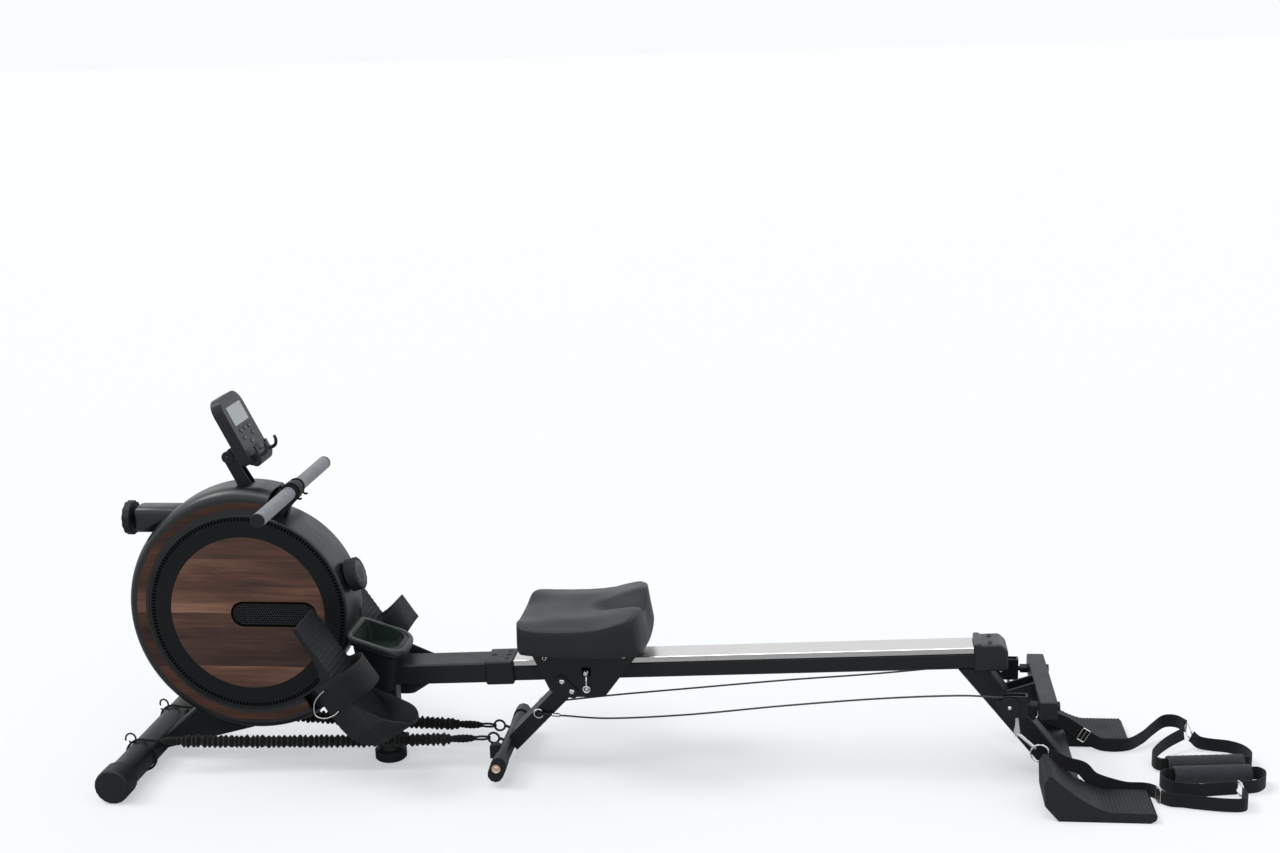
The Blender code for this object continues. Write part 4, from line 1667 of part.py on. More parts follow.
def build():
    front_stabiliser()
    front_strut()
    front_frame()
    drum()
    plates, flywheel, spool = flywheel_parts()
    magnet_brake()
    pull_strap()
    nose_tube, clamp_knob = nose()
    dial = resistance_dial()
    bar = handlebar()
    handle_rest()
    screen = console()
    console_post()
    bottle_holder()
    rail_parts()
    rail_sleeve()
    rail_end_cap()
    rear_support()
    foot_plate("foot_plate_left", -1)
    foot_plate("foot_plate_right", 1)
    pulleys = {}
    for side, word in ((-1, "left"), (1, "right")):
        pulleys[side] = pulley(side, word)
    cushion = seat_cushion()
    carriage = seat_carriage()
    front_rollers = roller_set("front_rollers", ROLLER_FRONT_X)
    rear_rollers = roller_set("rear_rollers", ROLLER_REAR_X)
    pin = lock_pin()
    arm = seat_arm()
    elastic_cord("bungee_left", -1)
    elastic_cord("bungee_right", 1)
    steel_cables()
    hooks = {-1: snap_hook("snap_hook_left", -1), 1: snap_hook("snap_hook_right", 1)}
    rear_strap("rear_strap_left", ((LEFT_STRAP, 32), (LEFT_LOOP, 34)), LEFT_RINGS)
    rear_strap("rear_strap_right", ((RIGHT_STRAP, 28), (RIGHT_LOOP, 36)), RIGHT_RINGS)
    hand_grip("hand_grip_left", (1.661, -0.0385), GRIP_Z)
    hand_grip("hand_grip_right", (1.657, 0.0095), GRIP_Z)
    pedals = {}
    for side, word in ((-1, "left"), (1, "right")):
        pedals[side] = [pedal("pedal_" + word, side), pedal_strap("pedal_strap_" + word, side)]

    seat_origin = ((SEAT_FRONT_X + SEAT_REAR_X) / 2, 0.0, rail_z((SEAT_FRONT_X + SEAT_REAR_X) / 2))
    body("seat", seat_origin, [cushion, carriage, arm])
    body("front_rollers", (ROLLER_FRONT_X, 0.0, roller_z(ROLLER_FRONT_X)), [front_rollers])
    body("rear_rollers", (ROLLER_REAR_X, 0.0, roller_z(ROLLER_REAR_X)), [rear_rollers])
    body("lock_pin", (PIN_WINDOW_X, -CARRIAGE_Y, PIN_WINDOW_Z), [pin])
    body("handle", (HANDLE_X, 0.0, HANDLE_Z), bar)
    body("flywheel", (DRUM_X, 0.0, DRUM_Z), [flywheel])
    body("spool", (DRUM_X, 0.0, DRUM_Z), [spool])
    body("console", (CONSOLE_HINGE[0], 0.0, CONSOLE_HINGE[1]), [screen])
    body("clamp_knob", (NOSE_START_X, 0.0, NOSE_Z), [clamp_knob])
    body("dial", drum_point(DIAL_ANGLE_DEG, DRUM_CORE_RADIUS), [dial])
    for side, word in ((-1, "left"), (1, "right")):
        bracket, wheel = pulleys[side]
        body("pulley_" + word, (PULLEY_BRIDGE_X, side * PULLEY_Y, PULLEY_Z), [bracket, hooks[side]])
        body("wheel_" + word, (PULLEY_X, side * PULLEY_Y, PULLEY_Z), [wheel])
        body("pedal_" + word, (PEDAL_AXLE_X, side * PEDAL_INNER_Y, PEDAL_AXLE_Z), pedals[side])


def smooth_shading():
    for obj in PARTS.objects:
        if obj.type == "MESH":
            obj.data.shade_smooth()
            obj.data.set_sharp_from_angle(angle=math.radians(35.0))


clear_scene()
PARTS = make_collection("rowing_machine")
build()
smooth_shading()
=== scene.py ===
"""Dressing of the magnetic rowing machine: finishes, soft pieces, small fittings, light and camera."""
import json
import math

import bmesh
import bpy
import numpy as np
from mathutils import Euler, Matrix, Vector, noise


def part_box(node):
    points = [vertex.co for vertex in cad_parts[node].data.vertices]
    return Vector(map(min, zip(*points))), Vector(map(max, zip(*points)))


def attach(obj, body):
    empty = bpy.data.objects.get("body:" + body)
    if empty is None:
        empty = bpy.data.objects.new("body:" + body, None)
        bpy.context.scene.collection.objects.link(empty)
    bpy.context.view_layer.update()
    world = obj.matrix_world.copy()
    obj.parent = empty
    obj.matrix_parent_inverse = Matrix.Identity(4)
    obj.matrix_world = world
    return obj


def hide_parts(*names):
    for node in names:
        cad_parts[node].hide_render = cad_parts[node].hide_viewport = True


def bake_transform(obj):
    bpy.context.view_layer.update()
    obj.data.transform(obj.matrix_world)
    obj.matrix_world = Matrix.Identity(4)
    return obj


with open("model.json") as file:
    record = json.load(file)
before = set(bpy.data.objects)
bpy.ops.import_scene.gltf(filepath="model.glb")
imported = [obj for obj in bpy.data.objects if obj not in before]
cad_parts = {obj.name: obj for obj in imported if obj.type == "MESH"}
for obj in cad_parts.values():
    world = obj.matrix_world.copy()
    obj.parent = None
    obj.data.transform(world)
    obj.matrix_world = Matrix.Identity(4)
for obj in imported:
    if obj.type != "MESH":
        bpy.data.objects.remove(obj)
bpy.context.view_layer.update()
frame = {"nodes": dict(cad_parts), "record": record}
NODES = frame["nodes"]
Y_AXIS = Vector((0.0, 1.0, 0.0))
Z_AXIS = Vector((0.0, 0.0, 1.0))

# Lengths are in metres and angles in degrees. The rower's left is -Y.
SIDES = ((-1, "left"), (1, "right"))

CAMERA_PLACE = (0.9540, -3.2776, 1.5071)
CAMERA_TURN = (76.4786, 1.7530, 6.6447)
CAMERA_LENS = 48.57

DRUM = Vector((-0.265, 0.0, 0.336))
FACE_Y = 0.055
PANEL_RADIUS = 0.1620
VENT_INNER = 0.1960
VENT_OUTER = 0.2025
COVER_RADIUS = 0.2050
CORE_RADIUS = 0.2100
HOOD_RADIUS = 0.2560
HOOD_START = 75.5
HOOD_END = 300.0
DIAL_ANGLE = 17.5
GAP = 0.0003
VENT_BARS = 176
SLOT_FRONT_X = -0.301
SLOT_REAR_X = -0.119
SLOT_HALF = 0.027
SLOT_Z = 0.334
BOARD_WIDTH = 0.058

HANDLE = Vector((-0.168, 0.0, 0.582))
CONSOLE_TOP = Vector((-0.290, 0.0, 0.784))
CONSOLE_LEAN = 25.5
HINGE = Vector((-0.294, 0.0, 0.654))

SEAT_HALF = 0.134
SEAT_BOTTOM = 0.2765
CARRIAGE_Y = 0.0553
PIN = Vector((0.430, -0.055, 0.2195))

PEDAL_TOP = Vector((-0.119, 0.1325, 0.355))
PEDAL_LEAN = 57.0
PEDAL_RIB = 0.0046
FOOT_RIB_START = 1.336
FOOT_RIB_PITCH = 0.185 / 26
FOOT_PLATE_Y = 0.172
FOOT_PLATE_HALF = 0.0515

STABILISER = Vector((-0.505, 0.090, 0.036))
WHEEL = Vector((1.262, 0.098, 0.180))
CABLE_EYE = Vector((0.328, 0.0335, 0.1195))
CABLE_START_X = 0.369
CABLE_START_Z = {"left": 0.1150, "right": 0.1205}
CABLE_X = (0.474, 0.635, 0.825, 1.012, 1.165)
CABLE_Z = {"left": (0.1140, 0.1300, 0.1580, 0.1820, 0.1955), "right": (0.1310, 0.1440, 0.1590, 0.1710, 0.1850)}
CABLE_RADIUS = 0.0019
GROOVE_RADIUS = 0.0163


def on_side(place, side):
    """A place given for the right side, on the side asked for."""
    return Vector((place.x, side * place.y, place.z))


# Camera

def camera():
    """The view from the rower's left, a little behind the machine's middle and above it."""
    data = bpy.data.cameras.new("camera")
    data.lens = CAMERA_LENS
    data.sensor_width = 36.0
    data.clip_start, data.clip_end = 0.05, 200.0
    obj = bpy.data.objects.new("camera", data)
    bpy.context.scene.collection.objects.link(obj)
    turn = Euler([math.radians(angle) for angle in CAMERA_TURN])
    obj.matrix_world = Matrix.LocRotScale(Vector(CAMERA_PLACE), turn, None)
    bpy.context.scene.camera = obj


# Node graphs for the finishes

class Finish:
    """A material and short ways to add the nodes that make it."""

    def __init__(self, name, colour, rough, metal=0.0, specular=0.5):
        self.material = bpy.data.materials.new(name)
        self.material.use_nodes = True
        self.tree = self.material.node_tree
        self.shader = self.tree.nodes["Principled BSDF"]
        self.shader.inputs["Base Color"].default_value = (*colour, 1.0)
        self.shader.inputs["Roughness"].default_value = rough
        self.shader.inputs["Metallic"].default_value = metal
        self.shader.inputs["Specular IOR Level"].default_value = specular
        self.place = self.node("ShaderNodeTexCoord").outputs["Object"]

    def node(self, kind, **settings):
        made = self.tree.nodes.new(kind)
        for key, value in settings.items():
            setattr(made, key, value)
        return made

    def feed(self, socket, value):
        if isinstance(value, bpy.types.NodeSocket):
            self.tree.links.new(value, socket)
        else:
            socket.default_value = value

    def maths(self, operation, *values):
        made = self.node("ShaderNodeMath", operation=operation)
        for socket, value in zip(made.inputs, values):
            self.feed(socket, value)
        return made.outputs[0]

    def plus(self, *values):
        return self.maths("ADD", *values)

    def minus(self, *values):
        return self.maths("SUBTRACT", *values)

    def times(self, *values):
        return self.maths("MULTIPLY", *values)

    def below(self, *values):
        return self.maths("LESS_THAN", *values)

    def axes(self, vector=None):
        made = self.node("ShaderNodeSeparateXYZ")
        self.feed(made.inputs[0], vector or self.place)
        return made.outputs

    def vector(self, x, y, z=0.0):
        made = self.node("ShaderNodeCombineXYZ")
        for socket, value in zip(made.inputs, (x, y, z)):
            self.feed(socket, value)
        return made.outputs[0]

    def scaled(self, factors, vector=None):
        made = self.node("ShaderNodeVectorMath", operation="MULTIPLY")
        self.feed(made.inputs[0], vector or self.place)
        made.inputs[1].default_value = factors
        return made.outputs[0]

    def noise(self, scale, detail=3.0, rough=0.5, vector=None, distortion=0.0):
        made = self.node("ShaderNodeTexNoise")
        self.feed(made.inputs["Vector"], vector or self.place)
        made.inputs["Scale"].default_value = scale
        made.inputs["Detail"].default_value = detail
        made.inputs["Roughness"].default_value = rough
        made.inputs["Distortion"].default_value = distortion
        return made.outputs["Fac"]

    def span(self, value, low, high, new_low=0.0, new_high=1.0):
        made = self.node("ShaderNodeMapRange")
        for socket, item in zip(made.inputs, (value, low, high, new_low, new_high)):
            self.feed(socket, item)
        return made.outputs[0]

    def ramp(self, value, stops):
        made = self.node("ShaderNodeValToRGB")
        self.feed(made.inputs[0], value)
        elements = made.color_ramp.elements
        while len(elements) < len(stops):
            elements.new(0.5)
        for element, (place, colour) in zip(elements, stops):
            element.position = place
            element.color = (*colour, 1.0)
        return made.outputs[0]

    def mix(self, share, first, second):
        made = self.node("ShaderNodeMix", data_type="RGBA")
        self.feed(made.inputs[0], share)
        for socket, value in ((made.inputs[6], first), (made.inputs[7], second)):
            self.feed(socket, value if isinstance(value, bpy.types.NodeSocket) else (*value, 1.0))
        return made.outputs[2]

    def base(self):
        """The base colour as wired so far."""
        return self.shader.inputs["Base Color"].links[0].from_socket

    def colour(self, value):
        self.feed(self.shader.inputs["Base Color"], value)

    def rough(self, value):
        self.feed(self.shader.inputs["Roughness"], value)

    def sheen(self, weight, roughness):
        self.shader.inputs["Sheen Weight"].default_value = weight
        self.shader.inputs["Sheen Roughness"].default_value = roughness

    def bump(self, height, distance, strength=1.0):
        made = self.node("ShaderNodeBump")
        self.feed(made.inputs["Height"], height)
        made.inputs["Distance"].default_value = distance
        made.inputs["Strength"].default_value = strength
        if self.shader.inputs["Normal"].links:
            self.feed(made.inputs["Normal"], self.shader.inputs["Normal"].links[0].from_socket)
        self.feed(self.shader.inputs["Normal"], made.outputs[0])


def tinted(colour, factor):
    """A lighter or darker tone of the colour."""
    return tuple(min(1.0, c * factor) for c in colour)


def grained(name, colour, rough, grain, depth, metal=0.0, contrast=0.16, specular=0.22):
    """A moulded or coated surface: fine grain in the bump, slow drift in colour and gloss."""
    f = Finish(name, colour, rough, metal, specular)
    slow = f.noise(7.0, 4.0, 0.55)
    f.colour(f.mix(slow, tinted(colour, 1.0 - contrast), tinted(colour, 1.0 + contrast)))
    f.rough(f.span(f.noise(23.0, 3.0), 0.3, 0.7, rough - 0.05, rough + 0.06))
    f.bump(f.noise(grain, 2.0), depth)
    return f


def walnut(name, tint):
    """Straight-grained veneer in broad boards: tone steps between boards, long streaks, fine pores."""
    f = Finish(name, (0.10, 0.05, 0.04), 0.42, specular=0.2)
    x, y, z = f.axes()
    bend = f.noise(2.6, 2.0, 0.5, f.scaled((1.0, 1.0, 0.5)))
    level = f.plus(z, f.times(bend, 0.030))
    chance = f.node("ShaderNodeTexWhiteNoise", noise_dimensions="1D")
    f.feed(chance.inputs["W"], f.maths("FLOOR", f.maths("DIVIDE", level, BOARD_WIDTH)))
    shift = chance.outputs["Value"]
    along = f.vector(f.plus(x, f.times(shift, 3.0)), y, level)
    broad = f.noise(6.0, 4.0, 0.58, f.scaled((0.42, 1.0, 2.6), along), 0.60)
    streak = f.noise(34.0, 4.0, 0.65, f.scaled((0.075, 1.0, 2.6), along), 0.25)
    fibre = f.noise(150.0, 3.0, 0.70, f.scaled((0.045, 1.0, 2.8), along))
    pores = f.noise(230.0, 2.0, 0.6, f.scaled((0.035, 1.0, 2.4), along))
    tone = f.plus(f.plus(f.times(broad, 0.68), f.times(streak, 0.20)), f.times(fibre, 0.12))
    tone = f.plus(tone, f.times(f.minus(shift, 0.46), 0.20))
    stops = ((0.32, (0.034, 0.0180, 0.0150)), (0.43, (0.060, 0.0310, 0.0240)),
             (0.52, (0.100, 0.0480, 0.0330)), (0.60, (0.150, 0.0730, 0.0480)),
             (0.72, (0.270, 0.1420, 0.0950)))
    wood = f.ramp(tone, [(place, [a * b for a, b in zip(colour, tint)]) for place, colour in stops])
    dark = f.span(pores, 0.58, 0.70)
    f.colour(f.mix(f.times(dark, 0.5), wood, (0.020, 0.010, 0.008)))
    f.rough(f.span(fibre, 0.3, 0.7, 0.38, 0.52))
    f.bump(f.minus(fibre, f.times(dark, 0.6)), 0.0002)
    return f


def drum_cover():
    """Black moulding, with painted shade in the vent groove and behind the grille: near black there and without
    gloss.
    """
    f = grained("drum_cover", (0.0085, 0.0095, 0.0108), 0.50, 900.0, 0.00012, specular=0.12)
    x, _, z = f.axes()
    dx, dz = f.minus(x, DRUM.x), f.minus(z, DRUM.z)
    radius = f.maths("SQRT", f.plus(f.times(dx, dx), f.times(dz, dz)))
    middle, half = (VENT_INNER + VENT_OUTER) / 2, (VENT_OUTER - VENT_INNER) / 2 + 0.00015
    ring = f.below(f.maths("ABSOLUTE", f.minus(radius, middle)), half)
    # Painted shade: the vent groove and the disc behind the grille are made near black, and their gloss is taken
    # away.
    dark = f.maths("MAXIMUM", ring, f.below(radius, PANEL_RADIUS + 0.0002))
    f.colour(f.mix(dark, f.base(), (0.0008, 0.0008, 0.0009)))
    f.feed(f.shader.inputs["Specular IOR Level"], f.times(f.minus(1.0, dark), 0.12))
    return f


def foot_tread():
    """Rubber of the foot plates: ridges a little lighter than the grooves between them, the grooves darkened as
    painted shade.
    """
    f = grained("foot_rubber", (0.0130, 0.0145, 0.0160), 0.55, 500.0, 0.0002, 0.0, 0.2, 0.28)
    x, y, _ = f.axes()
    ridge = f.maths("COSINE", f.times(f.minus(x, FOOT_RIB_START), 2.0 * math.pi / FOOT_RIB_PITCH))
    off_middle = f.maths("ABSOLUTE", f.minus(f.maths("ABSOLUTE", y), FOOT_PLATE_Y))
    plate_face = f.below(off_middle, FOOT_PLATE_HALF)
    # Painted shade: the grooves between the ridges on the plate's face are darkened.
    share = f.times(plate_face, f.span(ridge, -1.0, 1.0))
    f.colour(f.mix(f.minus(plate_face, share), f.base(), (0.0035, 0.0038, 0.0042)))
    return f


def tread():
    """Rubber tread of the pedals: fine ribs across the foot on the tread face, with painted highlight on the ribs'
    tops and painted shade in the grooves between them.
    """
    f = grained("pedal_rubber", (0.0090, 0.0100, 0.0112), 0.62, 500.0, 0.0002, 0.0, 0.20, 0.24)
    down, out = math.cos(math.radians(PEDAL_LEAN)), math.sin(math.radians(PEDAL_LEAN))
    x, _, z = f.axes()
    along = f.minus(f.times(x, down), f.times(z, out))
    over = f.plus(f.times(f.minus(x, PEDAL_TOP.x), out), f.times(f.minus(z, PEDAL_TOP.z), down))
    face = f.below(f.maths("ABSOLUTE", over), 0.0050)
    rib = f.maths("SINE", f.times(along, 2.0 * math.pi / PEDAL_RIB))
    height = f.times(face, f.maths("GREATER_THAN", rib, -0.1))
    # Painted highlight and shade: rib tops much lighter than the rubber, grooves much darker.
    ribs = f.mix(height, (0.0022, 0.0024, 0.0027), (0.0230, 0.0255, 0.0280))
    f.colour(f.mix(face, f.base(), ribs))
    f.bump(height, 0.0012)
    return f


def woven(name, colour, across, along, depth=0.00025, sheen=0.35):
    """Narrow webbing: ribs along its length crossed by the weft, from its own width and length coordinates; the
    colour follows the weave's height, with painted shade in its hollows and painted highlight on its crests.
    """
    f = Finish(name, colour, 0.82, specular=0.25)
    u, v = f.axes(f.node("ShaderNodeTexCoord").outputs["UV"])[:2]
    drift = f.noise(900.0, 2.0)
    warp = f.maths("SINE", f.times(u, 2.0 * math.pi / across))
    weft = f.maths("SINE", f.plus(f.times(v, 2.0 * math.pi / along), f.times(u, math.pi / across)))
    height = f.plus(f.times(warp, weft), f.times(drift, 0.7))
    # Painted shade and highlight: darker in the weave's hollows, lighter on its crests.
    f.colour(f.mix(f.span(height, -1.0, 1.6), tinted(colour, 0.45), tinted(colour, 1.7)))
    f.sheen(sheen, 0.45)
    f.bump(height, depth)
    return f


def gathered():
    """Knitted polyester sleeve: fine cross-ribs and a soft fuzz; the colour follows the bumps, with painted shade in
    their hollows and painted highlight on their crests.
    """
    f = Finish("gathered_fabric", (0.0080, 0.0085, 0.0095), 0.92, specular=0.2)
    fine = f.noise(1400.0, 3.0, 0.6)
    folds = f.noise(120.0, 3.0, 0.6, f.scaled((1.0, 0.35, 0.35)))
    # Painted shade and highlight: the tone follows the same noises as the bumps, darker in the hollows of the knit
    # and the folds.
    stops = ((0.32, (0.0018, 0.0019, 0.0021)), (0.52, (0.0055, 0.0059, 0.0066)), (0.75, (0.017, 0.018, 0.020)))
    f.colour(f.ramp(f.plus(f.times(fine, 0.5), f.times(folds, 0.5)), stops))
    f.sheen(0.12, 0.5)
    f.bump(fine, 0.0005)
    f.bump(folds, 0.0015)
    return f


def foam(name, colour, pore):
    """Open foam: fine pores darkened as painted shade, and slow blotches of random tone."""
    f = Finish(name, colour, 0.88, specular=0.2)
    cells = f.node("ShaderNodeTexVoronoi")
    f.feed(cells.inputs["Vector"], f.place)
    cells.inputs["Scale"].default_value = pore
    spread = cells.outputs["Distance"]
    blotch = f.noise(45.0, 3.0)
    # Partly painted shade: the tone follows the same cells as the bumps, darker in the pores, mixed with random
    # blotches.
    tone = f.plus(f.times(spread, 0.5), f.times(blotch, 0.5))
    f.colour(f.mix(f.span(tone, 0.2, 0.8), tinted(colour, 0.72), tinted(colour, 1.22)))
    f.bump(spread, 0.0004)
    f.sheen(0.15, 0.5)
    return f


def brushed(name, colour, rough, stretch):
    """Bare metal with fine lines, drawn out along one axis."""
    f = Finish(name, colour, rough, 1.0)
    lines = f.noise(300.0, 4.0, 0.7, f.scaled(stretch))
    f.colour(f.mix(lines, tinted(colour, 0.82), tinted(colour, 1.12)))
    f.rough(f.span(lines, 0.2, 0.8, rough - 0.08, rough + 0.12))
    f.bump(lines, 0.00008)
    return f


def skin():
    """Integral-skin foam of the seat: fine leather-like grain and slow unevenness."""
    f = Finish("seat_skin", (0.0190, 0.0205, 0.0225), 0.42, specular=0.34)
    cells = f.node("ShaderNodeTexVoronoi", feature="DISTANCE_TO_EDGE")
    f.feed(cells.inputs["Vector"], f.place)
    cells.inputs["Scale"].default_value = 620.0
    grain = f.maths("MINIMUM", cells.outputs["Distance"], 0.25)
    slow = f.noise(11.0, 4.0, 0.6)
    f.colour(f.mix(slow, (0.0085, 0.0090, 0.0100), (0.0125, 0.0131, 0.0145)))
    f.rough(f.span(slow, 0.3, 0.7, 0.36, 0.46))
    f.bump(grain, 0.0004, 0.5)
    return f


def strands():
    """Steel cable under a thin clear black sleeve: a tight spiral of strands, with painted shade between them and
    painted highlight on their crests.
    """
    f = Finish("cable_sleeve", (0.020, 0.021, 0.023), 0.38)
    u, v = f.axes(f.node("ShaderNodeTexCoord").outputs["UV"])[:2]
    turn = f.maths("SINE", f.plus(f.times(v, 900.0), f.times(u, 8.0 * math.pi)))
    # Painted shade and highlight: darker between the strands, lighter on their crests.
    f.colour(f.mix(f.span(turn, -1.0, 1.0), (0.012, 0.013, 0.014), (0.046, 0.048, 0.052)))
    f.bump(turn, 0.0003)
    return f


def display():
    """Blank display pane under a clear coat."""
    f = Finish("display", (0.36, 0.39, 0.39), 0.16)
    slow = f.noise(40.0, 2.0)
    f.colour(f.mix(slow, (0.33, 0.36, 0.365), (0.41, 0.44, 0.445)))
    f.shader.inputs["Coat Weight"].default_value = 0.5
    f.shader.inputs["Coat Roughness"].default_value = 0.05
    return f


FINISHES = {
    "powder_coat": grained("powder_coat", (0.0110, 0.0130, 0.0150), 0.38, 1300.0, 0.00010, specular=0.24),
    "moulding": grained("moulding", (0.0062, 0.0072, 0.0088), 0.33, 1000.0, 0.00008, specular=0.52),
    "cover_black": drum_cover(),
    "walnut": walnut("walnut", (1.0, 1.0, 1.0)),
    "steel": brushed("running_strip", (0.70, 0.69, 0.67), 0.26, (0.02, 1.0, 1.0)),
    "chrome": brushed("chrome", (0.78, 0.78, 0.77), 0.16, (0.4, 0.4, 1.0)),
    "cast_iron": grained("cast_iron", (0.10, 0.10, 0.105), 0.62, 500.0, 0.0003, 0.8),
    "foam": foam("grip_foam", (0.275, 0.282, 0.298), 900.0),
    "rubber": grained("rubber", (0.0090, 0.0100, 0.0112), 0.55, 700.0, 0.00020, 0.0, 0.2, 0.28),
    "seat_foam": skin(),
    "webbing": woven("webbing", (0.0060, 0.0066, 0.0076), 0.0020, 0.0016, 0.0002, 0.12),
    "cable": strands(),
    "holder_green": grained("holder_plastic", (0.0075, 0.0098, 0.0112), 0.42, 800.0, 0.00015, specular=0.28),
    "console_black": grained("console_plastic", (0.0110, 0.0124, 0.0142), 0.32, 1200.0, 0.00006, specular=0.34),
}
GATHERED = gathered()
DISPLAY = display()
TRIM = walnut("walnut_trim", (0.52, 0.46, 0.42))
PRINT = grained("key_print", (0.30, 0.31, 0.32), 0.5, 900.0, 0.00004)
RIM = grained("holder_rim", (0.0230, 0.0290, 0.0290), 0.38, 800.0, 0.00010, specular=0.45)
GREEN = grained("holder_inside", (0.0150, 0.0270, 0.0205), 0.50, 800.0, 0.00010)
COPPER = brushed("copper_disc", (0.95, 0.66, 0.54), 0.30, (1.0, 1.0, 0.3))
TREAD = tread()
FOOT = foot_tread()
GRIP = foam("hand_grip_foam", (0.0340, 0.0375, 0.0430), 300.0)
BAR = grained("vent_bar", (0.0100, 0.0112, 0.0126), 0.50, 900.0, 0.00006, specular=0.12)
MESH = grained("grille_paint", (0.0240, 0.0262, 0.0290), 0.40, 900.0, 0.00006, specular=0.45)
SHADE = grained("inner_shade", (0.0012, 0.0013, 0.0014), 0.80, 900.0, 0.00006, specular=0.03)
COAT, MOULDING, BLACK, CASE = (FINISHES[key] for key in ("powder_coat", "moulding", "cover_black", "console_black"))
CHROME, RUBBER, WEBBING = (FINISHES[key] for key in ("chrome", "rubber", "webbing"))
SLOTS = {finish: slot for slot, finish in FINISHES.items()}
SLOTS.update({GATHERED: "webbing", DISPLAY: "console_black", TRIM: "walnut", PRINT: "console_black",
              RIM: "holder_green", GREEN: "holder_green", COPPER: "chrome", TREAD: "rubber", GRIP: "rubber",
              BAR: "cover_black", MESH: "cover_black", SHADE: "cover_black"})


def dress_frame():
    """The solids' own finishes, with soft shading between their facets."""
    for row in frame["record"]["subparts"]:
        name = row["node"]
        finish = FINISHES[row["material_slot"]]
        if name.startswith("pedal_") and "strap" not in name:
            finish = TREAD
        elif name.startswith("wood_trim"):
            finish = TRIM
        elif name.startswith("foot_plate"):
            finish = FOOT
        elif name == "handlebar":
            finish = RUBBER
        obj = NODES[name]
        obj.data.materials.clear()
        obj.data.materials.append(finish.material)
        obj.data.shade_smooth()
        obj.modifiers.new("weld", "WELD").merge_threshold = 0.00002
        obj.modifiers.new("edges", "EDGE_SPLIT").split_angle = math.radians(32.0)


# Pieces

def add_piece(name, work, finish, body="frame", slot=None, smooth=35.0):
    """The object of a finished mesh, with its finish, riding its body."""
    mesh = bpy.data.meshes.new(name)
    bmesh.ops.recalc_face_normals(work, faces=work.faces)
    work.to_mesh(mesh)
    work.free()
    mesh.materials.append(finish.material)
    mesh.shade_smooth()
    mesh.set_sharp_from_angle(angle=math.radians(smooth))
    obj = bpy.data.objects.new(name, mesh)
    bpy.context.scene.collection.objects.link(obj)
    slot = slot or SLOTS.get(finish)
    if body:
        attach(obj, body)
    return obj


def around(count, start=0.0):
    """Even angles of one turn, in radians."""
    return [math.radians(start) + 2 * math.pi * k / count for k in range(count)]


def heading_at(degrees):
    """Direction in the upright plane along the machine: 0 is to the rear and 90 is up."""
    turn = math.radians(degrees)
    return Vector((math.cos(turn), 0.0, math.sin(turn)))


def curve_points(points, count):
    """Evenly stepped points of a smooth curve through the given ones."""
    ends = [points[0] * 2 - points[1]] + list(points) + [points[-1] * 2 - points[-2]]
    stretches = len(points) - 1
    route = []
    for index in range(count + 1):
        place = min(index * stretches / count, stretches - 1e-9)
        leg, t = int(place), place - int(place)
        a, b, c, d = ends[leg:leg + 4]
        route.append(0.5 * ((2 * b) + (c - a) * t + (2 * a - 5 * b + 4 * c - d) * t * t
                            + (3 * b - a - 3 * c + d) * t * t * t))
    return route


def lengths(points):
    """Distance along a route to each of its points."""
    total = [0.0]
    for first, second in zip(points, points[1:]):
        total.append(total[-1] + (second - first).length)
    return total


def join(work, rings, closed=False, ends=False, uv=None, across=None, reach=None):
    """Quads between neighbouring rings; uv takes the places across and along, ends closes both mouths."""
    for i, (one, two) in enumerate(zip(rings, rings[1:] + (rings[:1] if closed else []))):
        for k in range(len(one)):
            n = (k + 1) % len(one)
            face = work.faces.new((one[k], one[n], two[n], two[k]))
            if uv:
                near, far = reach[i], reach[min(i + 1, len(reach) - 1)]
                corners = ((across[k], near), (across[k + 1], near), (across[k + 1], far), (across[k], far))
                for loop, place in zip(face.loops, corners):
                    loop[uv].uv = place
    if ends:
        work.faces.new(rings[0][::-1])
        work.faces.new(rings[-1])


def sweep(name, points, radius, finish, body="frame", slot=None, sides=8, closed=False, wobble=None):
    """A round tube along points; radius is a number or one for each point, wobble shapes each section."""
    count = len(points)
    radii = radius if isinstance(radius, (list, tuple)) else [radius] * count
    work = bmesh.new()
    uv = work.loops.layers.uv.new("UVMap")
    rings = []
    side = None
    for index, point in enumerate(points):
        if closed:
            ahead = points[(index + 1) % count] - points[index - 1]
        else:
            ahead = points[min(index + 1, count - 1)] - points[max(index - 1, 0)]
        ahead.normalize()
        if side is None:
            side = ahead.orthogonal().normalized()
        side = (side - ahead * side.dot(ahead)).normalized()
        up = ahead.cross(side)
        ring = []
        for angle in around(sides):
            size = radii[index] * (wobble(index, angle) if wobble else 1.0)
            ring.append(work.verts.new(point + (side * math.cos(angle) + up * math.sin(angle)) * size))
        rings.append(ring)
    join(work, rings, closed, not closed, uv, [k / sides for k in range(sides + 1)], lengths(points))
    return add_piece(name, work, finish, body, slot)


def band(name, points, across, width, thickness, body="frame"):
    """Flat webbing, its width along the across vector; rounded edges, width and length coordinates in metres."""
    shape = [(width / 2 * u, thickness * v)
             for u, v in ((-1.0, 0.0), (-0.97, 0.5), (-0.5, 0.5), (0.5, 0.5), (0.97, 0.5),
                          (1.0, 0.0), (0.97, -0.5), (0.5, -0.5), (-0.5, -0.5), (-0.97, -0.5))]
    work = bmesh.new()
    uv = work.loops.layers.uv.new("UVMap")
    rings = []
    for index, point in enumerate(points):
        ahead = points[min(index + 1, len(points) - 1)] - points[max(index - 1, 0)]
        side = (across - ahead * (across.dot(ahead) / ahead.length_squared)).normalized()
        face = ahead.cross(side).normalized()
        rings.append([work.verts.new(point + side * u + face * v) for u, v in shape])
    join(work, rings, False, True, uv, [u for u, v in shape + shape[:1]], lengths(points))
    return add_piece(name, work, WEBBING, body, smooth=60.0)


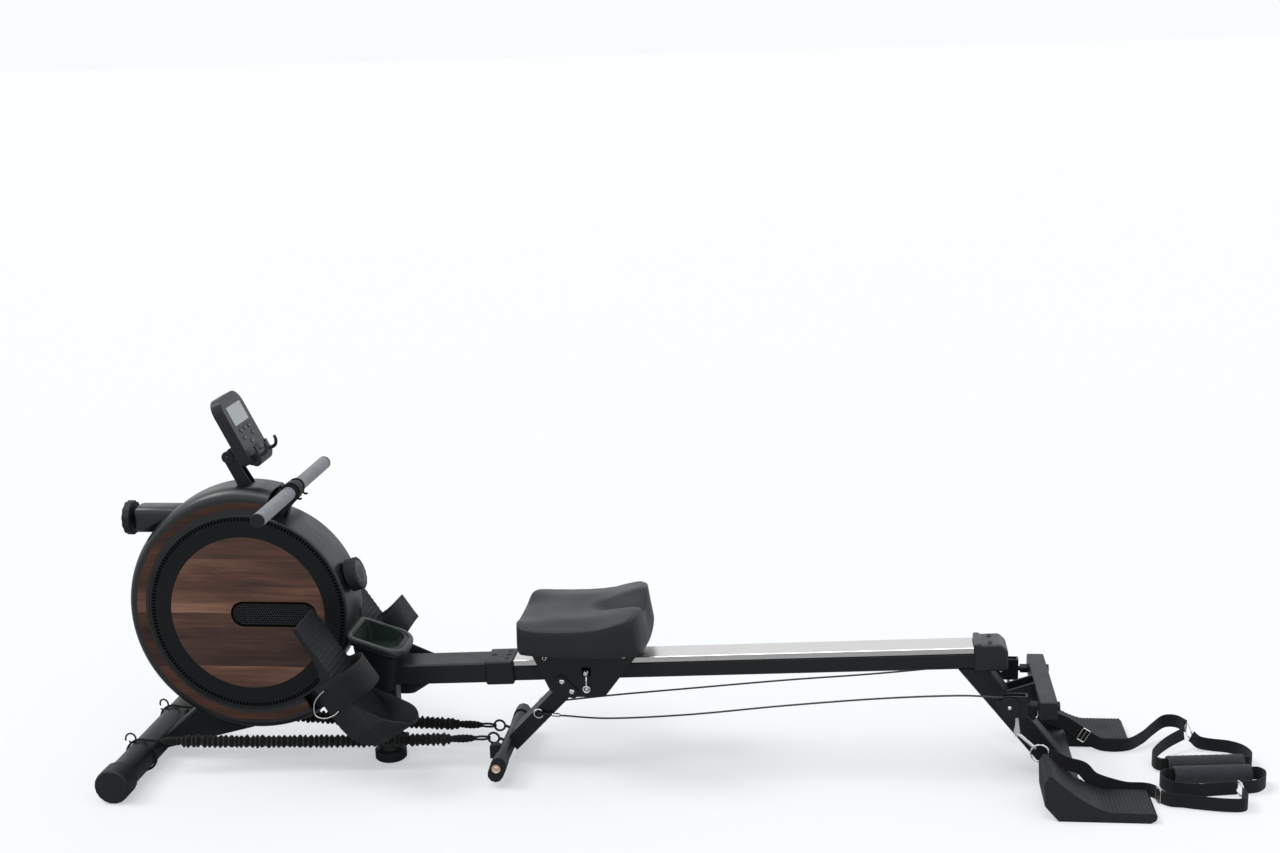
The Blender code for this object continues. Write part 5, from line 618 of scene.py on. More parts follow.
def turned(name, profile, base, direction, finish, body="frame", slot=None, sides=24):
    """A revolved shape; profile is (radius, height) from one end of its axis to the other."""
    work = bmesh.new()
    rows = []
    for radius, height in profile:
        if radius < 1e-9:
            rows.append([work.verts.new((0.0, 0.0, height))])
        else:
            rows.append([work.verts.new((radius * math.cos(a), radius * math.sin(a), height)) for a in around(sides)])
    for low, high in zip(rows, rows[1:]):
        for k in range(sides):
            n = (k + 1) % sides
            corners = [low[k % len(low)], low[n % len(low)], high[n % len(high)], high[k % len(high)]]
            corners = list(dict.fromkeys(corners))
            if len(corners) > 2:
                work.faces.new(corners)
    matrix = Matrix.Translation(base) @ Vector(direction).to_track_quat("Z", "Y").to_matrix().to_4x4()
    bmesh.ops.transform(work, matrix=matrix, verts=work.verts)
    return add_piece(name, work, finish, body, slot)


def bolt(name, base, direction, radius, finish, body="frame", slot=None):
    """A button head with a hexagonal socket."""
    profile = [(radius * a, radius * b) for a, b in ((0.0, 0.28), (0.44, 0.28), (0.46, 0.62), (0.62, 0.60),
                                                     (0.86, 0.42), (0.98, 0.16), (1.0, 0.0), (0.0, 0.0))]
    return turned(name, profile, base, direction, finish, body, slot, 18)


def wire_ring(name, centre, normal, radius, wire, body="frame"):
    """A ring of steel wire square to the normal."""
    turn = Vector(normal).to_track_quat("Z", "Y")
    points = [Vector(centre) + turn @ Vector((radius * math.cos(a), radius * math.sin(a), 0.0)) for a in around(28)]
    return sweep(name, points, wire, CHROME, body, closed=True)


def prism(work, outline, y0, y1):
    """A plate between two planes across the machine, from its outline in x and z."""
    join(work, [[work.verts.new((x, y, z)) for x, z in outline] for y in (y0, y1)], ends=True)


def thicken(work, faces, shift):
    """A plate from flat faces, moved on by the shift."""
    made = bmesh.ops.extrude_face_region(work, geom=faces)
    bmesh.ops.translate(work, vec=shift, verts=[v for v in made["geom"] if isinstance(v, bmesh.types.BMVert)])


def on_slope(top, lean, s, y, t):
    """A point s down a face that leans back from upright, y across it and t over it."""
    turn = math.radians(lean)
    return top + Vector((s * math.sin(turn) + t * math.cos(turn), y, t * math.sin(turn) - s * math.cos(turn)))


# Seat

RIM_PROFILE = ((-1.0, 0.0585), (-0.69, 0.0552), (-0.37, 0.0545), (-0.06, 0.0556), (0.20, 0.0580), (0.41, 0.0615),
               (0.60, 0.0680), (0.79, 0.0738), (0.92, 0.0768), (1.0, 0.0765))


def seat_height(u, v):
    """Height of the top over the underside: rim line, crown, dipped front edge and the channel at the rear."""
    rim = float(np.interp(u, *zip(*RIM_PROFILE)))
    crown = 0.0085 * (1.0 - v * v)
    crown += 0.0030 * math.exp(-((abs(v) - 0.62) / 0.22) ** 2) * math.exp(-((u + 0.1) / 0.7) ** 2)
    front = -0.0165 * math.exp(-(v / 0.62) ** 4) * max(0.0, -(u + 0.25) / 0.75) ** 1.6
    lobes = -0.0050 * math.exp(-(v / 0.42) ** 2) * math.exp(-((u + 0.1) / 0.6) ** 2)
    share = min(1.0, max(0.0, (u - 0.12) / 0.88))
    channel = -0.034 * share ** 0.85 * math.exp(-(abs(v) / (0.15 + 0.17 * share)) ** 2.6)
    return rim + crown + front + lobes + channel


def seat_plan(u, v, level, inset=0.0):
    """Place of a point of the outline grid; level is 0 at the underside and 1 at the top."""
    front, rear = 0.2925 + 0.0030 * level, 0.5600 - 0.0135 * level
    half_x, middle = (rear - front) / 2 - inset, (rear + front) / 2
    half_y = SEAT_HALF - 0.0035 * level - inset
    corner = 0.075 * abs(u * v) ** (2.6 + 1.6 * level)
    return middle + half_x * u * (1.0 - 0.035 * v ** 4 - corner), half_y * v * (1.0 - 0.02 * u ** 4 - corner)


def seat():
    """Moulded seat: shaped top, crisp rolled edge, drafted sides, rounded foot and a flat underside."""
    steps, edge = 72, 0.0042
    spots = [math.sin(math.pi * (k / steps - 0.5)) for k in range(steps + 1)]
    work = bmesh.new()
    top = {}
    for i, u in enumerate(spots):
        for j, v in enumerate(spots):
            place = (*seat_plan(u, v, 1.0, edge), SEAT_BOTTOM + seat_height(u, v))
            top[i, j] = (work.verts.new(place), u, v)
    for i in range(steps):
        for j in range(steps):
            work.faces.new([top[k][0] for k in ((i, j), (i + 1, j), (i + 1, j + 1), (i, j + 1))])
    border = [top[key] for key in [(k, 0) for k in range(steps)] + [(steps, k) for k in range(steps)]
              + [(k, steps) for k in range(steps, 0, -1)] + [(0, k) for k in range(steps, 0, -1)]]
    rings = [[vert for vert, u, v in border]]
    # Inset, height (a drop below the rim, or a share of the side) and level of each ring.
    levels = ((0.0022, -0.0007, 1.0), (0.0008, -0.0020, 1.0), (0.0, -edge, 1.0), (0.0, 0.75, 0.78), (0.0, 0.50, 0.52),
              (0.0, 0.28, 0.27), (0.0003, 0.15, 0.12), (0.0016, 0.07, 0.05), (0.0042, 0.018, 0.0), (0.0075, 0.0, 0.0))
    for inset, height, level in levels:
        row = []
        for _, u, v in border:
            rise = seat_height(u, v)
            z = SEAT_BOTTOM + (rise + height if height < 0 else height * (rise - edge))
            row.append(work.verts.new((*seat_plan(u, v, level, inset), z)))
        rings.append(row)
    join(work, rings)
    work.faces.new(rings[-1])
    obj = add_piece("seat_pad", work, FINISHES["seat_foam"], "seat", smooth=60.0)
    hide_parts("seat_cushion")


# Elastic cords

def bungee(side, word):
    """Elastic cord: loop over the stabiliser, knot sleeve, gathered cover, knot sleeve, two strands to the ring."""
    hub, radius = on_side(STABILISER, side), 0.0332
    cord = []
    for index in range(41):
        left = 1 - index / 40
        angle = math.radians(70.0 + 330.0 * left)
        cord.append(hub + Vector((radius * math.cos(angle), side * 0.009 * left, radius * math.sin(angle))))
    start = cord[-1]
    heading = Vector((0.2112, side * 0.032, 0.0620)) - start

    def on_line(share):
        return start + heading * share - Z_AXIS * (0.005 * 4 * share * (1 - share))

    cord += [on_line(0.004 * k) for k in range(1, 13)]
    sweep("elastic_loop_" + word, cord, 0.0025, GATHERED, sides=10)
    knots = []
    for low, high, name in ((0.045, 0.100, "front"), (0.893, 0.972, "rear")):
        points, radii = [], []
        for k in range(25):
            t = k / 24
            points.append(on_line(low + (high - low) * t))
            radii.append(0.0030 + 0.0052 * max(0.0, math.sin(math.pi * t)) ** 0.5 + 0.0006 * math.sin(t * 40.0))
        knots.append(sweep("cord_knot_%s_%s" % (name, word), points, radii, GATHERED, None, sides=14))
    first, last, folds = 0.090, 0.905, 52
    shares = [index / (folds * 6) for index in range(folds * 6 + 1)]
    points, radii = [], []
    for share in shares:
        wander = noise.noise(Vector((share * 31.0, side * 4.0, 0.0)))
        fold = math.sin(2 * math.pi * (folds * share + 0.35 * wander))
        size = 0.0113 + 0.0023 * fold + 0.0010 * noise.noise(Vector((share * 70.0, side * 9.0, 3.0)))
        radii.append(size * min(1.0, 0.62 + 12 * share, 0.62 + 12 * (1 - share)))
        points.append(on_line(first + (last - first) * share) + Z_AXIS * 0.0007 * wander)

    def wobble(index, angle):
        place = Vector((shares[index] * 120.0, 1.4 * math.cos(angle) + side * 7.0, 1.4 * math.sin(angle)))
        return 1.0 + 0.16 * noise.noise(place)

    cover = sweep("elastic_cover_" + word, points, radii, GATHERED, None, sides=20, wobble=wobble)
    tails = []
    for part, shift in (("upper", 0.0034), ("lower", -0.0034)):
        strand = [on_line(0.962 + 0.052 * k / 8) + Z_AXIS * (shift * math.sin(math.pi * (k + 1) / 10))
                  for k in range(9)]
        tails.append(sweep("elastic_tail_%s_%s" % (part, word), strand, 0.0024, RUBBER, None, "webbing", 10))
    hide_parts("bungee_" + word)
    for piece in [cover] + tails + knots:
        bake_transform(piece)


# Steel cables

def cable_ends(side, word):
    """The eye on the seat's arm, and the start of the cable's free run."""
    eye = on_side(CABLE_EYE, side)
    return eye, Vector((CABLE_START_X, eye.y, CABLE_START_Z[word]))


def cable(side, word):
    """Steel cable: its run from the seat's arm to the top of the wheel, and its turn round the wheel."""
    eye, begin = cable_ends(side, word)
    wheel = on_side(WHEEL, side)
    run = [begin + (begin - eye).normalized() * 0.0003]
    for x, z in zip(CABLE_X, CABLE_Z[word]):
        share = (x - CABLE_START_X) / (WHEEL.x - CABLE_START_X)
        run.append(Vector((x, begin.y + (wheel.y - begin.y) * share, z)))
    run += [wheel + Vector((-0.020, 0.0, GROOVE_RADIUS - 0.0002)), wheel + Vector((-0.0015, 0.0, GROOVE_RADIUS))]
    obj = sweep("cable_run_" + word, curve_points(run, 90), CABLE_RADIUS, FINISHES["cable"], None, sides=10)
    wrap = [wheel + heading_at(angle) * GROOVE_RADIUS for angle in range(96, -1, -6)]
    wrap.append(wheel + Vector((GROOVE_RADIUS, 0.0, -0.0057)))
    sweep("cable_turn_" + word, wrap, CABLE_RADIUS, FINISHES["cable"], "pulley_" + word, sides=10)
    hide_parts("steel_cable_" + word)
    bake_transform(obj)


# Straps and grips at the rear, their routes in millimetres

STRAPS = {
    "left": ((1338.5, -98, 80), (1356, -108, 74), (1375, -115.5, 68), (1401, -115.5, 60), (1425, -112, 36),
             (1480, -105, 16), (1520, -108, 15.5), (1538, -118, 15.5), (1548, -140, 15.5), (1563, -153, 15.5),
             (1584, -156, 15.5), (1615, -163, 15.5), (1659, -170, 15.5), (1693, -168, 15.5), (1705, -150, 15.5),
             (1702, -118.5, 15.5)),
    "right": ((1338.5, 98, 79), (1360, 104, 72), (1398, 107.5, 56), (1433, 104, 34), (1469, 98, 16),
              (1519, 100, 15.5), (1554, 130, 18), (1580, 158, 26), (1605, 175, 36), (1628, 168, 40),
              (1645.5, 145, 38.8)),
}
LOOPS = {
    "left": ((1698.5, -93.5, 15.5), (1665, -100, 15.5), (1622, -108, 15.5), (1585, -103, 15.5), (1563, -85, 16),
             (1558, -64, 17.8), (1570, -48.5, 17.8), (1586.5, -46.7, 17.8), (1661, -38.5, 17.8),
             (1735.5, -30.3, 17.8), (1751, -30.2, 17.8), (1760, -43, 17), (1756, -64, 16), (1738, -83, 15.5),
             (1708, -91.5, 15.5)),
    "right": ((1651.2, 119.6, 28.5), (1665, 108, 20), (1690, 106, 16), (1720, 100, 15.5), (1743, 82, 15.5),
              (1753, 56, 16), (1752, 33, 17.8), (1745.5, 20, 17.8), (1731.5, 17.7, 17.8), (1657, 9.5, 17.8),
              (1582.5, 1.3, 17.8), (1568, 3, 17.8), (1559, 18, 17.8), (1562, 44, 17), (1580, 74, 20),
              (1604, 98, 26), (1636, 121, 33)),
}
RING_ENDS = {"left": ((1.7000, -0.1060, 0.0200), (0.9, 0.3, 0.1)),
             "right": ((1.6480, 0.1330, 0.0336), (0.9, 0.25, 0.13))}
GRIPS = {"left": (1.661, -0.0385, 0.0178), "right": (1.657, 0.0095, 0.0178)}
GRIP_YAW = 6.3


def webbing(name, spots, count, width):
    """A strap through the spots of its route, lying flat."""
    route = curve_points([Vector([value / 1000 for value in spot]) for spot in spots], count)
    return band(name, route, Z_AXIS, width, 0.0020), route


def strap(side, word):
    """A webbing strap with its rings and slider, and the loop that holds the foam grip."""
    web, route = webbing("strap_" + word, STRAPS[word], 150, 0.028)
    loop, back = webbing("hand_loop_" + word, LOOPS[word], 170, 0.0275)
    hook = wire_ring("strap_ring_" + word, (1.3225, side * 0.098, 0.0815), Y_AXIS, 0.0175, 0.0017)
    end = wire_ring("loop_ring_" + word, *RING_ENDS[word], 0.0145, 0.0017)
    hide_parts("rear_strap_" + word)
    yaw = math.radians(GRIP_YAW)
    profile = [(0.0147, -0.075), (0.0160, -0.0752), (0.0173, -0.0738)]
    profile += [(0.0175 + 0.0002 * math.sin(k * 1.7), -0.072 + 0.144 * k / 40) for k in range(41)]
    profile += [(0.0173, 0.0738), (0.0160, 0.0752), (0.0147, 0.075), (0.0147, -0.075)]
    grip = turned("hand_pad_" + word, profile, GRIPS[word], (math.cos(yaw), math.sin(yaw), 0.0), GRIP, sides=40)
    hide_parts("hand_grip_" + word)
    frames = slider("strap_slider_" + word, route, 0.515 if side < 0 else 0.30)
    return (web, route, [hook, end] + frames), (loop, back, [grip])


def slider(name, route, share):
    """A flat wire frame round the webbing, square to its run."""
    index = int(share * (len(route) - 1))
    centre = route[index]
    ahead = (route[index + 1] - route[index - 1]).normalized()
    up = (Z_AXIS - ahead * ahead.z).normalized()
    lift = ahead.cross(up) * 0.0026
    points = []
    for a, b, first in ((1, 1, 0), (-1, 1, 90), (-1, -1, 180), (1, -1, 270)):
        for k in range(5):
            turn = math.radians(first + 22.5 * k)
            points.append(centre + ahead * (a * 0.0058 + 0.002 * math.cos(turn))
                          + up * (b * 0.0118 + 0.002 * math.sin(turn)) + lift)
    return [sweep(name + "_front", points, 0.0012, CHROME, closed=True),
            sweep(name + "_bar", [centre + lift + up * z for z in (-0.0135, 0.0, 0.0135)], 0.0011, CHROME)]


# Handlebar and pull strap

def handle_foam(side, word):
    """Foam tube over one end of the handlebar."""
    low, high = 0.0243, 0.2157
    profile = [(0.0094, low), (0.0128, low), (0.0139, low + 0.0012)]
    profile += [(0.0140 + 0.00012 * math.sin(k * 2.1), low + 0.003 + (high - low - 0.006) * k / 40)
                for k in range(41)]
    profile += [(0.0139, high - 0.0012), (0.0128, high), (0.0094, high), (0.0094, low)]
    obj = turned("bar_foam_" + word, profile, HANDLE, Y_AXIS * side, FINISHES["foam"], "handle", sides=48)
    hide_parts("handle_grip_" + word)


def pull_strap():
    """The strap from the drum to the handlebar, between the middles of the solid's two ends."""
    low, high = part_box("pull_strap")
    co = np.array([v.co for v in NODES["pull_strap"].data.vertices], float)
    bottom = Vector(co[co[:, 2] < low.z + 0.004].mean(0))
    top = Vector(co[co[:, 2] > high.z - 0.004].mean(0))
    points = [bottom + (top - bottom) * (k / 60) for k in range(61)]
    obj = band("rowing_strap", points, Y_AXIS, 0.018, 0.0022, None)
    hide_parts("pull_strap")
    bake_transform(obj)


def bar_rest():
    """Two slim ears on the drum's rim that the handlebar lies on, and the ends of the loops that hold it."""
    shape = [(-0.2180, 0.5385), (-0.1900, 0.5290), (-0.1750, 0.5480), (-0.1560, 0.5660), (-0.1530, 0.5740)]
    for k in range(11):
        spot = HANDLE + heading_at(-30 - 15 * k) * 0.0172
        shape.append((spot.x, spot.z))
    shape += [(-0.1900, 0.5900), (-0.2100, 0.5700)]
    for side, word in SIDES:
        work = bmesh.new()
        prism(work, shape, side * 0.0125, side * 0.0185)
        bmesh.ops.triangulate(work, faces=[f for f in work.faces if len(f.verts) > 4])
        add_piece("bar_ear_" + word, work, RUBBER)
        end = [HANDLE + Vector((x, side * y, z)) for x, y, z in ((0.0150, 0.0200, -0.0090), (0.0185, 0.0200, -0.0130),
                                                                 (0.0240, 0.0195, -0.0120))]
        sweep("loop_end_" + word, curve_points(end, 12), 0.0022, GATHERED, "handle")
    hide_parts("handle_rest")


def bar_loops():
    """Elastic loops that hold the handlebar in its rest."""
    for side, word in SIDES:
        points = [HANDLE + Vector((0.0166 * math.cos(a), side * (0.0225 + 0.004 * math.sin(a)), 0.0166 * math.sin(a)))
                  for a in around(28)]
        sweep("bar_loop_" + word, points, 0.0020, GATHERED, "handle", closed=True)


# Pedals

def pedal_point(side, s, y, t):
    """A point from its distance down the tread, its place across it and its height over it."""
    return on_slope(on_side(PEDAL_TOP, side), 90.0 - PEDAL_LEAN, s, y, t)


def pedal(side, word):
    """Smooth pedal: ribbed tread, rounded heel cup with its sweeping rim, and the hollow of the cup."""
    length, half, start, height, wall, bevel = 0.298, 0.0575, 0.195, 0.066, 0.005, 0.0008
    grid = np.linspace(0.0, length, 400)
    kernel = np.exp(-0.5 * (np.arange(-30, 31) / 13.0) ** 2)
    kernel /= kernel.sum()

    def soft(places, values):
        line = np.interp(grid, places, values)
        return np.convolve(np.pad(line, 30, mode="edge"), kernel, mode="valid")

    tops = soft((0.0, start, start + 0.035, length - 0.040, length - 0.022, length - 0.006, length),
                (0.0, 0.0, 0.022, height * 0.62, height * 0.88, height * 0.985, height * 0.985))
    lows = soft((0.0, length - 0.205, length - 0.143, length - 0.0773, length - 0.0394, length - 0.010, length),
                (-0.009, -0.015, -0.0517, -0.0515, -0.043, -0.020, -0.012))
    pitch = (start - 0.024) / 16
    bend = length - (half - 0.004)
    # Distance down the tread, share of the full width, and depth of the rib.
    spots = [(0.0, 1.0, 0.0)]
    spots += [(0.012 + pitch * 0.25 * k, 1.0, 0.0006 * (math.cos(0.5 * math.pi * k) - 1.0)) for k in range(65)]
    spots += [(start - 0.006 + (bend - start + 0.006) * k / 24, 1.0, 0.0) for k in range(25)]
    spots += [(bend + (length - bend) * math.sin(a), math.cos(a), 0.0)
              for a in (math.radians(3 * k) for k in range(1, 30))]
    spots += [(length, 0.0, 0.0)]
    rows = []
    for s, share, rib in spots:
        top = max(float(np.interp(s, grid, tops)), 0.0) if s > start - 0.008 else rib
        inside = s - max(0.0, s - bend) * wall / (length - bend)
        lip = min(0.0012, max(0.0, top) * 0.5)
        levels = ((s, half, float(np.interp(s, grid, lows))), (s, half, top - lip), (s, half - bevel, top),
                  (inside, half - wall + bevel, top), (inside, half - wall, top - lip), (inside, half - wall, rib))
        rows.append([(a, b * share, t) for a, b, t in levels])
    work = bmesh.new()
    left, right = [[[work.verts.new(pedal_point(side, a, sign * b, t)) for a, b, t in row] for row in rows]
                   for sign in (-1, 1)]
    for line in (left, right):
        for one, two in zip(line, line[1:]):
            for k in range(5):
                work.faces.new((one[k], one[k + 1], two[k + 1], two[k]))
    for index in range(len(rows) - 1):
        for k in (0, 5):
            work.faces.new((left[index][k], left[index + 1][k], right[index + 1][k], right[index][k]))
    work.faces.new(left[0] + right[0][::-1])
    bmesh.ops.remove_doubles(work, verts=work.verts, dist=1e-6)
    bmesh.ops.dissolve_degenerate(work, edges=work.edges, dist=1e-7)
    shape = add_piece("pedal_body_" + word, work, TREAD, "pedal_" + word, smooth=40.0)
    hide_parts("pedal_" + word)


def pedal_strap(side, word):
    """Foot strap arched over the tread, with its wire buckle at the outer side."""
    place, inner, steps = 0.152, 0.0595, 60
    height, round_out, slant, square, near, far = ((0.0440, 0.8, 0.006, 1.0, 5, 12) if side < 0 else
                                                   (0.0720, 0.55, -0.014, 0.5, 12, 5))
    arch = []
    for k in range(steps + 1):
        angle = math.pi * k / steps
        lift = height * math.sin(angle) ** round_out if 0 < k < steps else 0.0
        reach = math.copysign(abs(math.cos(angle)) ** square, math.cos(angle))
        arch.append(pedal_point(side, place + slant * math.sin(angle), inner * reach, lift))
    foot = [pedal_point(side, place, inner, -0.004 * k) for k in range(near - 1, 0, -1)]
    other = [pedal_point(side, place, -inner, -0.004 * k) for k in range(1, far)]
    down = (pedal_point(side, 1.0, 0.0, 0.0) - pedal_point(side, 0.0, 0.0, 0.0)).normalized()
    obj = band("foot_strap_" + word, foot + arch + other, down, 0.060, 0.0026, "pedal_" + word)
    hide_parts("pedal_strap_" + word)
    wire = [pedal_point(side, s, side * (inner + 0.0015), t)
            for s, t in ((0.134, -0.030), (0.137, -0.046), (0.146, -0.064), (0.166, -0.0755),
                         (0.181, -0.064), (0.186, -0.044), (0.184, -0.030))]
    sweep("foot_strap_buckle_" + word, curve_points(wire, 48), 0.0012, CHROME, "pedal_" + word)


# Console

def console_point(s, y, t):
    """A point s down the console's face, y across it and t over it."""
    return on_slope(CONSOLE_TOP, CONSOLE_LEAN, s, y, t)


def plate(name, s0, s1, y0, y1, t, thick, finish, bevel=0.0):
    """A thin panel laid on the console's face."""
    work = bmesh.new()
    lows = [work.verts.new(console_point(s, y, t)) for s, y in ((s0, y0), (s1, y0), (s1, y1), (s0, y1))]
    out = console_point(0.0, 0.0, 1.0) - console_point(0.0, 0.0, 0.0)
    thicken(work, [work.faces.new(lows)], out * thick)
    if bevel:
        sharp = [e for e in work.edges if abs((e.verts[0].co - e.verts[1].co).normalized().dot(out)) > 0.9]
        bmesh.ops.bevel(work, geom=sharp, offset=bevel, segments=3, affect="EDGES")
    return add_piece(name, work, finish, "console")


def console_face():
    """The display pane and six keys, each with a plain bar."""
    plate("display_window", 0.0245, 0.0655, -0.0385, 0.0385, -0.0002, 0.0006, DISPLAY)
    keys = ((0.078, -0.024), (0.078, 0.0), (0.078, 0.024), (0.094, -0.024), (0.094, 0.024), (0.108, 0.0))
    for index, (s, y) in enumerate(keys):
        plate("console_key_%d" % index, s - 0.0045, s + 0.0045, y - 0.0075, y + 0.0075, 0.0001, 0.0008, CASE, 0.002)
        plate("console_key_mark_%d" % index, s - 0.0009, s + 0.0009, y - 0.0042, y + 0.0042, 0.0009, 0.0001, PRINT)


def console_fittings():
    """Clip hooks, the hinge's bolt and cheeks, and the strengthening plates of the post."""
    for side, word in SIDES:
        hook = [console_point(s, side * 0.030, t) for s, t in ((0.134, 0.006), (0.139, 0.016), (0.138, 0.026),
                                                               (0.130, 0.032), (0.120, 0.0335))]
        sweep("clip_hook_" + word, curve_points(hook, 24), [0.0042 - 0.0012 * k / 24 for k in range(25)],
              CASE, "console", sides=10)
        out = Y_AXIS * side
        turned("hinge_cheek_" + word, [(0.0, 0.0), (0.0128, 0.0), (0.0128, 0.0012), (0.0118, 0.0020), (0.0, 0.0020)],
               HINGE + out * 0.0132, out, CASE, "console", sides=32)
        bolt("hinge_bolt_" + word, HINGE + out * 0.0152, out, 0.0038, RIM, "console", "chrome")
        work = bmesh.new()
        prism(work, [(-0.3040, 0.6480), (-0.3010, 0.6600), (-0.2900, 0.6640), (-0.2820, 0.6580), (-0.2500, 0.6000),
                     (-0.2500, 0.5900), (-0.2760, 0.5900)], side * 0.0085, side * 0.0115)
        add_piece("post_plate_" + word, work, COAT)


# Drum

def nose_tube():
    """The nose tube with its rear end run on under the hood."""
    work = bmesh.new()
    work.from_mesh(NODES["nose_tube"].data)
    for vert in work.verts:
        if vert.co.x > -0.440:
            vert.co.x += 0.024
    bmesh.ops.remove_doubles(work, verts=work.verts, dist=2e-5)
    tube = add_piece("nose_sleeve", work, MOULDING, smooth=50.0)
    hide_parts("nose_tube")


def swept_profile(work, profile, side, start=0.0, end=360.0, steps=180):
    """A closed profile of radius and height across, turned about the drum's axis from one angle to another."""
    whole = end - start >= 360.0
    rings = []
    for index in range(steps if whole else steps + 1):
        heading = heading_at(start + (end - start) * index / steps)
        rings.append([work.verts.new(DRUM + heading * r + Y_AXIS * (side * h)) for r, h in profile])
    join(work, rings, whole, not whole)


def shoulder(radius, wide, deep, steps):
    """Rounded edge from the drum's face to its rim, as radius and height."""
    return [(radius + wide * math.sin(a), FACE_Y - deep + deep * math.cos(a))
            for a in (math.pi / 2 * k / steps for k in range(steps + 1))]


def drum_shell(side, word):
    """Core, hood with its rolled shoulder, and the dark ends of the hood."""
    face, foot, edge = FACE_Y, CORE_RADIUS - 0.0005, CORE_RADIUS - 0.0030
    ledge, seat_in, seat_out = face - 0.005 - GAP, 0.1973, COVER_RADIUS + GAP
    work = bmesh.new()
    swept_profile(work, [(seat_out, face)] + shoulder(edge, 0.0030, 0.0030, 5)
                  + [(CORE_RADIUS, GAP), (edge, GAP), (edge, ledge - 0.003), (seat_in, ledge - 0.003),
                     (seat_in, ledge), (seat_out, ledge)], side)
    add_piece("drum_core_" + word, work, MOULDING)
    inner = HOOD_RADIUS - 0.003
    work = bmesh.new()
    swept_profile(work, [(foot, face)] + shoulder(0.2400, 0.0160, 0.028, 12)
                  + [(HOOD_RADIUS, GAP), (inner, GAP), (inner, face - 0.030), (0.2380, face - 0.003),
                     (foot, face - 0.003)], side, HOOD_START, HOOD_END, 120)
    for vert in work.verts:
        arm = Vector((vert.co.x - DRUM.x, 0.0, vert.co.z - DRUM.z))
        share = max(0.0, (arm.length - 0.238) / 0.018)
        share *= math.exp(-((math.degrees(math.atan2(arm.z, arm.x)) - 86.0) / 34.0) ** 2)
        vert.co += arm.normalized() * 0.0060 * share
    shell = add_piece("drum_hood_" + word, work, MOULDING)
    work = bmesh.new()
    for start, lift in ((HOOD_START + 0.35, 0.0055), (HOOD_END - 0.70, 0.0)):
        swept_profile(work, [(foot, face), (0.2400, face), (0.2480, face - 0.0036), (0.2540 + lift, face - 0.0145),
                             (0.2555 + lift, face - 0.0280), (0.2555 + lift, GAP), (foot, GAP)],
                      side, start, start + 0.35, 1)
    add_piece("hood_ends_" + word, work, SHADE, slot="moulding")
    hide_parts("drum_shell_" + word)


def drum_face(side, word):
    """Side cover with its vent groove, wood panel with the grille's slot, and wood crescent."""
    face, bed, groove, bevel = FACE_Y, FACE_Y - 0.0019, FACE_Y - 0.0020, 0.0004
    step = PANEL_RADIUS + GAP
    work = bmesh.new()
    swept_profile(work, [(0.0, bed), (step, bed), (step, face - GAP), (step + bevel, face),
                         (VENT_INNER - bevel, face), (VENT_INNER, face - bevel), (VENT_INNER, groove),
                         (VENT_OUTER, groove), (VENT_OUTER, face - bevel), (VENT_OUTER + bevel, face),
                         (COVER_RADIUS - bevel, face), (COVER_RADIUS, face - 0.0005),
                         (COVER_RADIUS, face - 0.005), (0.0, face - 0.005)], side)
    bmesh.ops.remove_doubles(work, verts=work.verts, dist=1e-6)
    disc = add_piece("drum_cover_" + word, work, BLACK)
    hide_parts("side_cover_" + word)
    work = bmesh.new()
    thick = 0.0016
    circle = [(DRUM.x + PANEL_RADIUS * math.cos(a), DRUM.z + PANEL_RADIUS * math.sin(a)) for a in around(180)]
    edges = []
    for outline in (circle, stadium(0.0)):
        spots = [work.verts.new((x, side * (face - thick), z)) for x, z in outline]
        edges += [work.edges.new((a, b)) for a, b in zip(spots, spots[1:] + spots[:1])]
    filled = bmesh.ops.triangle_fill(work, edges=edges, use_beauty=True)["geom"]
    thicken(work, [g for g in filled if isinstance(g, bmesh.types.BMFace)], Y_AXIS * side * thick)
    panel = add_piece("wood_panel_" + word, work, FINISHES["walnut"])
    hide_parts("wood_disc_" + word)
    work = bmesh.new()
    low, edge, high = side * (face - 0.0004), side * (face + 0.0003), side * (face + 0.0006)
    rows = []
    for k in range(111):
        heading = heading_at(79.0 + 2.0 * k)
        outer, inner = DRUM + heading * 0.2345, DRUM + Vector((0.004, 0.0, 0.002)) + heading * 0.2195
        rows.append([work.verts.new((spot.x, y, spot.z))
                     for spot, y in ((outer, low), (outer, edge), (outer - heading * bevel, high),
                                     (inner + heading * bevel, high), (inner, edge), (inner, low))])
    join(work, rows, ends=True)
    crescent = add_piece("wood_crescent_" + word, work, TRIM)
    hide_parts("wood_trim_" + word)


def vent_ring(side, word):
    """Radial bars that stand in the vent groove, flush with the cover."""
    work = bmesh.new()
    top, half = side * (FACE_Y - 0.0001), 2 * math.pi / VENT_BARS * 0.22
    for turn in around(VENT_BARS):
        outline = [(DRUM.x + r * math.cos(turn + a), DRUM.z + r * math.sin(turn + a))
                   for r, a in ((VENT_INNER, -half), (VENT_OUTER, -half), (VENT_OUTER, half), (VENT_INNER, half))]
        prism(work, outline, top - side * 0.0018, top)
    add_piece("vent_bars_" + word, work, BAR)


def stadium(inset, steps=14):
    """Outline of the grille's slot in x and z, drawn in by the inset."""
    points = []
    for centre, start in ((SLOT_REAR_X - SLOT_HALF, -90.0), (SLOT_FRONT_X + SLOT_HALF, 90.0)):
        for k in range(steps + 1):
            arm = heading_at(start + 180.0 * k / steps) * (SLOT_HALF - inset)
            points.append((centre + arm.x, SLOT_Z + arm.z))
    return points


